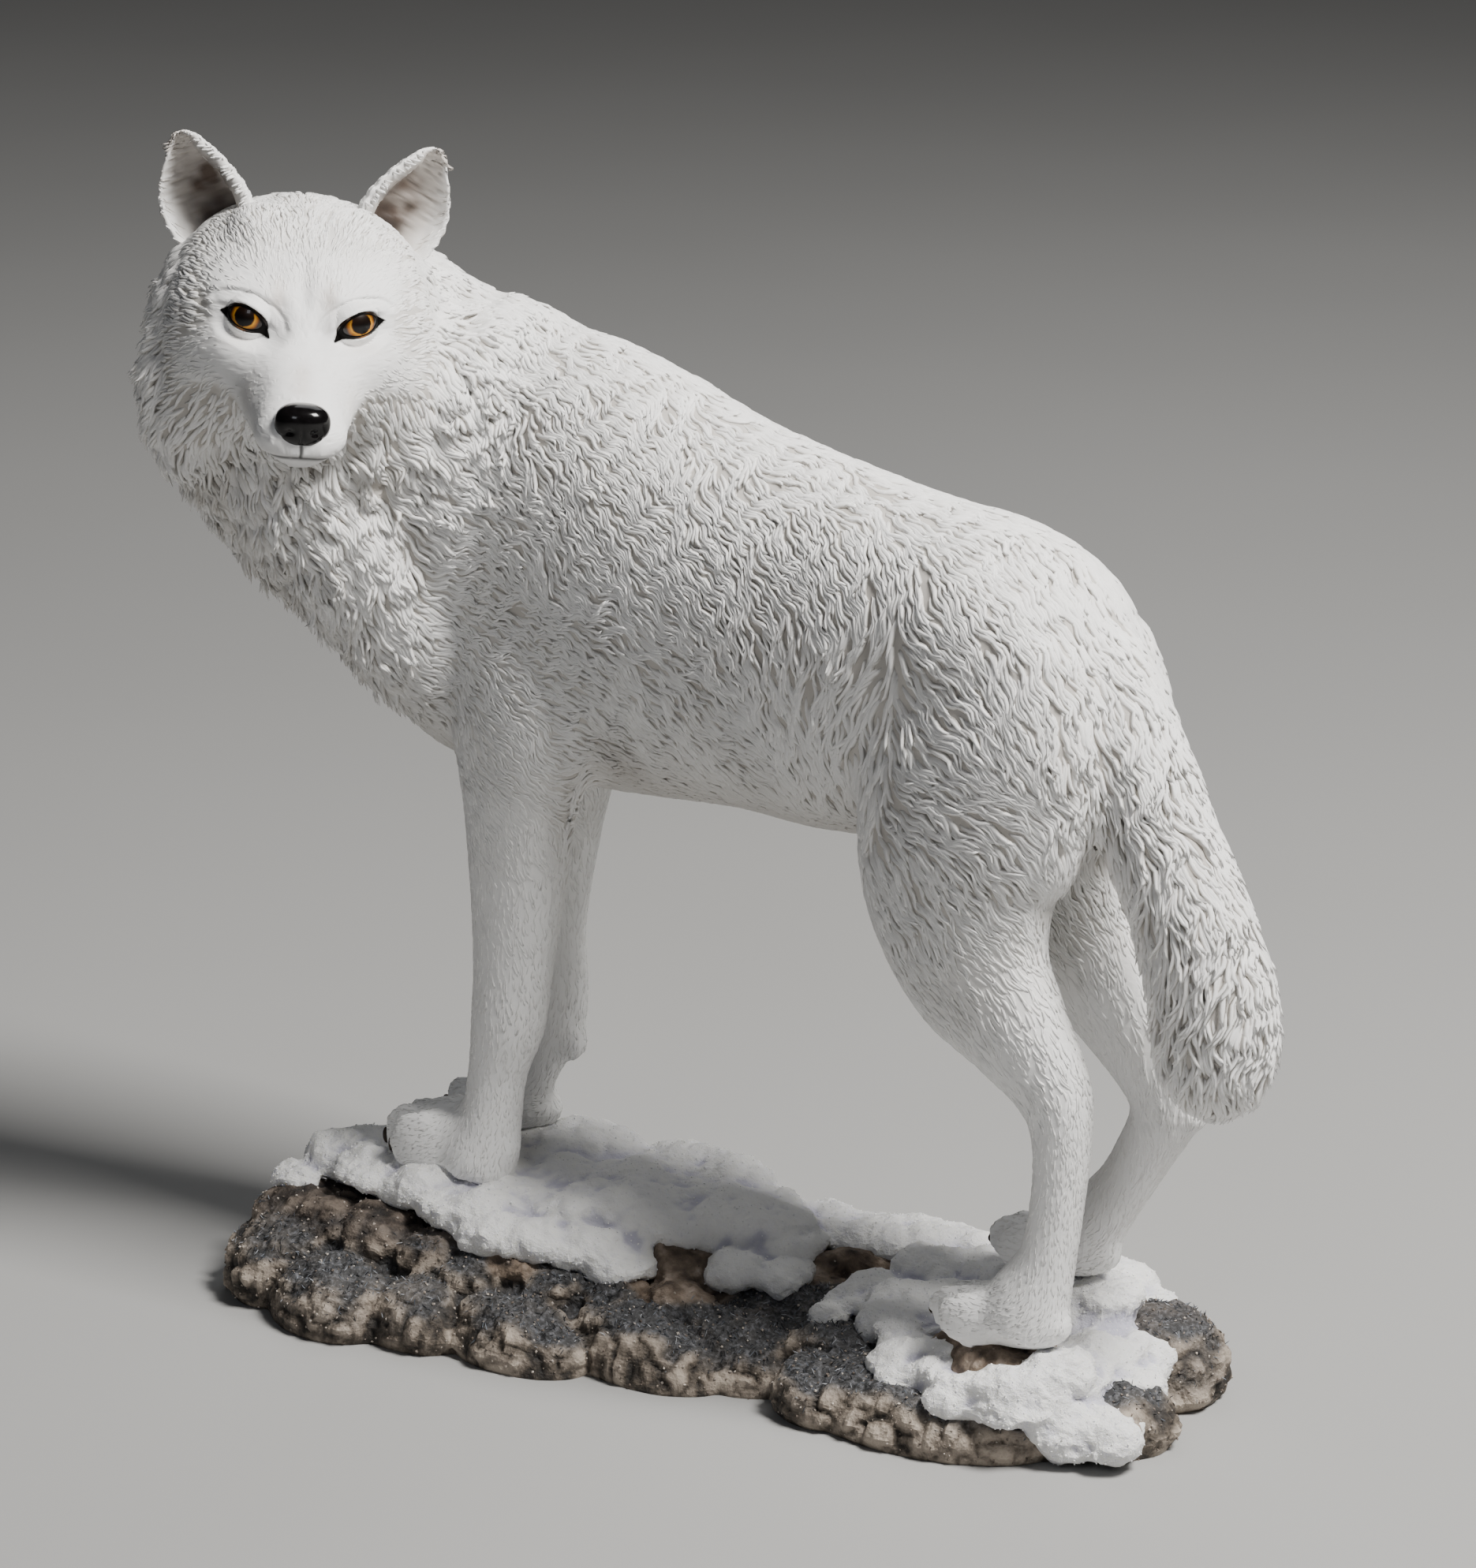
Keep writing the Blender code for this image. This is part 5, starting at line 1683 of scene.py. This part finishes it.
def make_rock():
    """Boulders with a crust, where nS is noise S mm wide, and crust = 1.5 |n7.5|^0.7 + 1.3 |n3.4|^0.7.

    Relief = (crust - 0.9), less on the upper tier high up or where clean, + 0.55 n1.5 + 1.6 n14 - 1.4
    creases.
    """
    shapes = wandered(lumps(ROCKS), size=11, by=1.6, seed=51) + [faceted(*stone) for stone in STONES]
    piece = fused("rock", shapes, ROCK_VOXEL, rounds=3)
    cut_at_ground(piece)
    surface = surface_of(piece)
    creases = ease(0.1, 1.2, hollows(surface, WIDE_ROUNDS))
    p = surface.points
    large, small, pits = grain(p, 7.5, 31), grain(p, 3.4, 32), grain(p, 1.5, 33)
    crust = 1.5 * np.abs(large) ** 0.7 + 1.3 * np.abs(small) ** 0.7
    # Mask of the upper tier, 14 to 19 mm up under the snow: a smoother crust there, and the rock painted
    # darker as shade.
    worn = ease(14, 19, (p - SHIFT)[:, 2])
    clean = np.zeros(len(p))
    for centre, size, turn, _ in STONES:
        local = (p - SHIFT - centre) @ turning(math.radians(turn), 2) / size
        clean = np.maximum(clean, ease(1.25, 1.02, np.linalg.norm(local, axis=1)))
    relief = (crust - 0.9) * (1 - 0.6 * worn) * (1 - 0.5 * clean)
    relief = relief + 0.55 * pits + 1.6 * grain(p, 14, 34) - 1.4 * creases
    relief = relief * ease(0.0, 3.5, p[:, 2])
    level = p[:, 2] < 0.01
    surface.points = p + surface.normals * relief[:, None]
    surface.points[:, 2] = np.where(level, 0, np.maximum(surface.points[:, 2], 0.02))
    refresh(surface)
    lie = averaged(surface, surface.normals, rounds=12, share=0.7)[:, 2]
    flock = np.maximum(ease(0.5, 0.85, lie), 0.9 * creases) * ease(22, 16, p[:, 2])
    flock = np.clip(1.1 * flock + 0.5 * grain(p, 7, 35) - 0.05, 0, 1) * ease(3, 6, p[:, 2]) * (1 - clean)
    crust = (crust / 2.0 + 0.12 * pits - 0.35 * creases).clip(0, 1)
    put(piece, crust=crust, flock=flock, worn=0.8 * worn, clean=clean)
    surface.flock, surface.clean = flock, clean
    return piece, surface


def rock_paint():
    """Cast polyresin painted as weathered rock: umber wash in the pits, dry-brushed beige on the crust,
    painted shade on the upper tier.
    """
    material, tree, shader, place = start_material("dry_brushed_polyresin_rock", IOR=1.5)
    names = ("crust", "flock", "worn", "clean")
    crust, flock, worn, clean = (add(tree, "Attribute", "Fac", attribute_name=name) for name in names)
    fine = add(tree, "TexNoise", "Fac", {"Vector": place, "Scale": 900.0, "Detail": 5.0, "Roughness": 0.6})
    level = add(tree, "Math", 0, {0: fine, 1: 0.7, 2: -0.35}, operation="MULTIPLY_ADD")
    level = add(tree, "Math", 0, {0: crust, 1: level}, operation="ADD")
    stops = ((0.05, "#191613"), (0.3, "#37312B"), (0.5, "#60574D"), (0.7, "#8F8478"), (0.95, "#ADA193"))
    stone = add(tree, "ValToRGB", "Color", {"Fac": level}, stops)
    # Darker rock for the upper tier under the snow: painted shade.
    stops = ((0.1, "#1A1512"), (0.5, "#3B322C"), (0.9, "#665A50"))
    bare = add(tree, "ValToRGB", "Color", {"Fac": level}, stops)
    soft = add(tree, "TexNoise", "Fac", {"Vector": place, "Scale": 240.0, "Detail": 6.0})
    stops = ((0.3, "#3A302A"), (0.5, "#776859"), (0.7, "#AC9D8F"))
    slab = add(tree, "ValToRGB", "Color", {"Fac": soft}, stops)
    stops = ((0.25, "#1A1A1A"), (0.5, "#3D3D3E"), (0.75, "#74757A"))
    felt = add(tree, "ValToRGB", "Color", {"Fac": fine}, stops)
    mix = stone
    for share, colour in ((worn, bare), (clean, slab), (flock, felt)):
        mix = add(tree, "Mix", 2, {0: share, 6: mix, 7: colour}, data_type="RGBA")
    textured(tree, shader, mix, fine, rough=(0.62, 0.85), strength=0.9, depth=0.0007)
    return material


def make_snow():
    """Snow drifts with a granular crust: relief = 1.5 n9 + 0.8 n3.4 + 0.45 n1.4."""
    shapes = wandered(lumps(SNOW), size=8, by=1.7, seed=61)
    piece = fused("snow", shapes, SNOW_VOXEL, rounds=4)
    surface = surface_of(piece)
    p = surface.points
    relief = 1.5 * grain(p, 9, 41) + 0.8 * grain(p, 3.4, 42) + 0.45 * grain(p, 1.4, 43) - 0.1
    surface.points = p + surface.normals * relief[:, None]
    refresh(surface)
    # How far each point lies in a hollow, read by the paint as painted shade.
    put(piece, dip=ease(-0.2, 0.9, hollows(surface, WIDE_ROUNDS)))
    return piece, surface


def snow_paint():
    """Snow made of white mineral grit in resin: sparkling grains, and a faint lilac painted shade in the
    hollows.
    """
    material, tree, shader, place = start_material("white_grit_snow", IOR=1.45, Subsurface_Weight=0.15)
    fill(tree, shader, {"Subsurface Radius": (0.002, 0.002, 0.003), "Subsurface Scale": 0.6})
    dip = add(tree, "Attribute", "Fac", attribute_name="dip")
    broad = add(tree, "TexNoise", "Fac", {"Vector": place, "Scale": 90.0, "Detail": 2.0})
    grit = add(tree, "TexNoise", "Fac", {"Vector": place, "Scale": 800.0, "Detail": 5.0, "Roughness": 0.7})
    level = add(tree, "Math", 0, {0: broad, 1: 0.9, 2: -0.45}, operation="MULTIPLY_ADD")
    level = add(tree, "Math", 0, {0: dip, 1: level}, operation="ADD")
    # White on the swells, lilac-grey painted shade in the hollows.
    stops = ((0.0, "#F4F4F3"), (0.45, "#E9E9EC"), (1.0, "#C9C8D6"))
    paint = add(tree, "ValToRGB", "Color", {"Fac": level}, stops)
    textured(tree, shader, paint, grit, rough=(0.35, 0.8), strength=0.9, depth=0.0009)
    return material


# Each shape: its points as two radii across and a share of its length, and its faces.
FIBRE = (
    (
        (1, 0, 0), (-0.5, 0.87, 0), (-0.5, -0.87, 0),
        (2.2, 0, 0.55), (0.7, 0.87, 0.55), (0.7, -0.87, 0.55), (0.6, 0, 1),
    ),  # fmt: skip
    (((0, 1, 4, 3), (1, 2, 5, 4), (2, 0, 3, 5)), ((0, 2, 1), (3, 4, 6), (4, 5, 6), (5, 3, 6))),
)
GRAIN = (
    ((1, 0, 0.5), (0, 1, 0.45), (-1, 0, 0.5), (0, -1, 0.6), (0, 0, 0), (0.2, 0, 1)),
    (((0, 1, 5), (1, 2, 5), (2, 3, 5), (3, 0, 5), (1, 0, 4), (2, 1, 4), (3, 2, 4), (0, 3, 4)),),
)


def scattered(name, surface, wanted, shape, lengths, widths, upright, seed):
    """Copies of a shape stood on a surface: point = root + axis x length x z + (one x + other y) x width.

    The axis is the normal, by a share drawn between the two of upright, plus a random way.
    """
    draws = np.random.default_rng(seed)
    roots = spread_roots(surface, wanted, seed)
    count = len(roots)
    form = np.array(shape[0], float)
    chance = unit(draws.normal(size=(count, 3)))
    normal = surface.normals[roots]
    axis = unit(normal * draws.uniform(*upright, (count, 1)) + chance - 0.8 * dot(chance, normal) * normal)
    one = unit(np.cross(axis, unit(draws.normal(size=(count, 3)))))
    other = np.cross(axis, one)
    start = surface.points[roots] + 0.5 * unit(draws.normal(size=(count, 3)))
    start = start - dot(start - surface.points[roots], normal) * normal - 0.1 * normal
    long = draws.uniform(*lengths, (count, 1, 1))
    wide = draws.uniform(*widths, (count, 1, 1))
    points = start[:, None] + axis[:, None] * form[:, 2:] * long
    points = points + (one[:, None] * form[:, :1] + other[:, None] * form[:, 1:2]) * wide
    steps = (np.arange(count) * len(form))[:, None, None]
    faces = [(np.array(group)[None] + steps).reshape(-1, len(group[0])) for group in shape[1]]
    piece = new_piece(name, points.reshape(-1, 3), faces, smooth=False)
    put(piece, tone=np.repeat(draws.uniform(0, 1, count), len(form)))
    return piece


def grain_paint(name, stops, roughness):
    """Loose fibres or grains, each of one shade between these."""
    material, tree, shader, _ = start_material(name, IOR=1.5, Roughness=roughness)
    tone = add(tree, "Attribute", "Fac", attribute_name="tone")
    fill(tree, shader, {"Base Color": add(tree, "ValToRGB", "Color", {"Fac": tone}, stops)})
    return material


def strew_base():
    """Flock fibres in the rock's hollows and on its ledges, dust on the rock, and grit over the snow."""
    high = BOULDERS.points[:, 2]
    felt = BOULDERS.flock * ease(26, 22, high) * BOULDERS.area
    low = (high > 0.5) * (1 - 0.8 * BOULDERS.clean) * BOULDERS.area
    flock = ((0.0, "#131417"), (0.5, "#33373D"), (0.8, "#6D737C"), (1.0, "#A3A5A9"))
    dust = ((0.0, "#544A42"), (0.5, "#857A70"), (1.0, "#C8BFB4"))
    grit = ((0.0, "#E4E4E6"), (1.0, "#FAFAF8"))
    # Name, what it lies on, how many, shape, lengths, widths, share of the upright, seed; paint and slot.
    for *what, paint, slot in (
        ("flock_fibres", BOULDERS, 0.55 * felt, FIBRE, (0.8, 1.9), (0.07, 0.13), (0.05, 0.7), 81,
         ("charcoal_nylon_flock", flock, 0.9), "rock_paint"),
        ("rock_dust", BOULDERS, 0.12 * low, GRAIN, (0.35, 0.8), (0.2, 0.45), (0.2, 1.0), 82,
         ("sifted_stone_dust", dust, 0.8), "rock_paint"),
        ("snow_grains", CRUST, 0.18 * CRUST.area, GRAIN, (0.3, 0.6), (0.18, 0.34), (0.2, 1.2), 83,
         ("white_marble_grit", grit, 0.4), "snow_grit"),
    ):  # fmt: skip
        dressed(scattered(*what), grain_paint(*paint), slot)


ROCK, BOULDERS = make_rock()
dressed(ROCK, rock_paint(), "rock_paint", "rock_base")
DRIFT, CRUST = make_snow()
dressed(DRIFT, snow_paint(), "snow_grit", "snow_cover")
strew_base()


# ======== stage
def soft_floor():
    """A pale matt board, far larger than the figure, with its top at the ground."""
    t = np.array((-1.0, 1.0)) * 3000
    x, y = np.meshgrid(t, t, indexing="ij")
    points = np.stack([x.ravel(), y.ravel(), np.full(4, -0.05)], 1)
    floor = new_piece("floor", points, [np.array([[0, 2, 3, 1]])], smooth=False)
    material, tree, shader, place = start_material("matt_white_board", Roughness=0.9)
    mottle = add(tree, "TexNoise", "Fac", {"Vector": place, "Scale": 3.0, "Detail": 2.0})
    paint = add(tree, "ValToRGB", "Color", {"Fac": mottle}, ((0.3, "#9E9E9D"), (0.7, "#A2A2A1")))
    fill(tree, shader, {"Base Color": paint})
    floor.data.materials.append(material)


MIDDLE = SHIFT * (1, 1, 0) + (0, 0, 126)


def placed(name, data, azimuth, elevation, distance):
    """A light or camera this far from the figure's middle, facing it."""
    a, e = math.radians(azimuth), math.radians(elevation)
    back = Vector((math.sin(a) * math.cos(e), -math.cos(a) * math.cos(e), math.sin(e)))
    holder = bpy.data.objects.new(name, data)
    holder.location = Vector(MIDDLE * MM) + back * distance
    holder.rotation_mode = "QUATERNION"
    holder.rotation_quaternion = (-back).to_track_quat("-Z", "Y")
    bpy.context.scene.collection.objects.link(holder)
    return holder


soft_floor()
for name, azimuth, elevation, distance, size, power, colour in (
    ("key", 90, 54, 1.3, 0.4, 40, "#FFFCF8"),
    ("fill", 20, 30, 1.5, 0.35, 1.6, "#F2F6FF"),
    ("back", 205, 50, 1.5, 0.8, 3.5, "#FFFFFF"),
):
    light = bpy.data.lights.new(name, "AREA")
    light.size, light.energy, light.color = size, power, linear(colour)
    placed(name, light, azimuth, elevation, distance)
world = bpy.data.worlds.new("studio")
world.use_nodes = True
sky = world.node_tree.nodes["Background"]
fill(world.node_tree, sky, {"Color": (0.72, 0.75, 0.8, 1), "Strength": 0.035})
bpy.context.scene.world = world

camera = bpy.data.cameras.new("camera")
camera.sensor_width, camera.lens = 36.0, 133.2
camera.clip_start, camera.clip_end = 0.05, 20
bpy.context.scene.camera = placed("camera", camera, azimuth=36.0, elevation=16.0, distance=1.25)
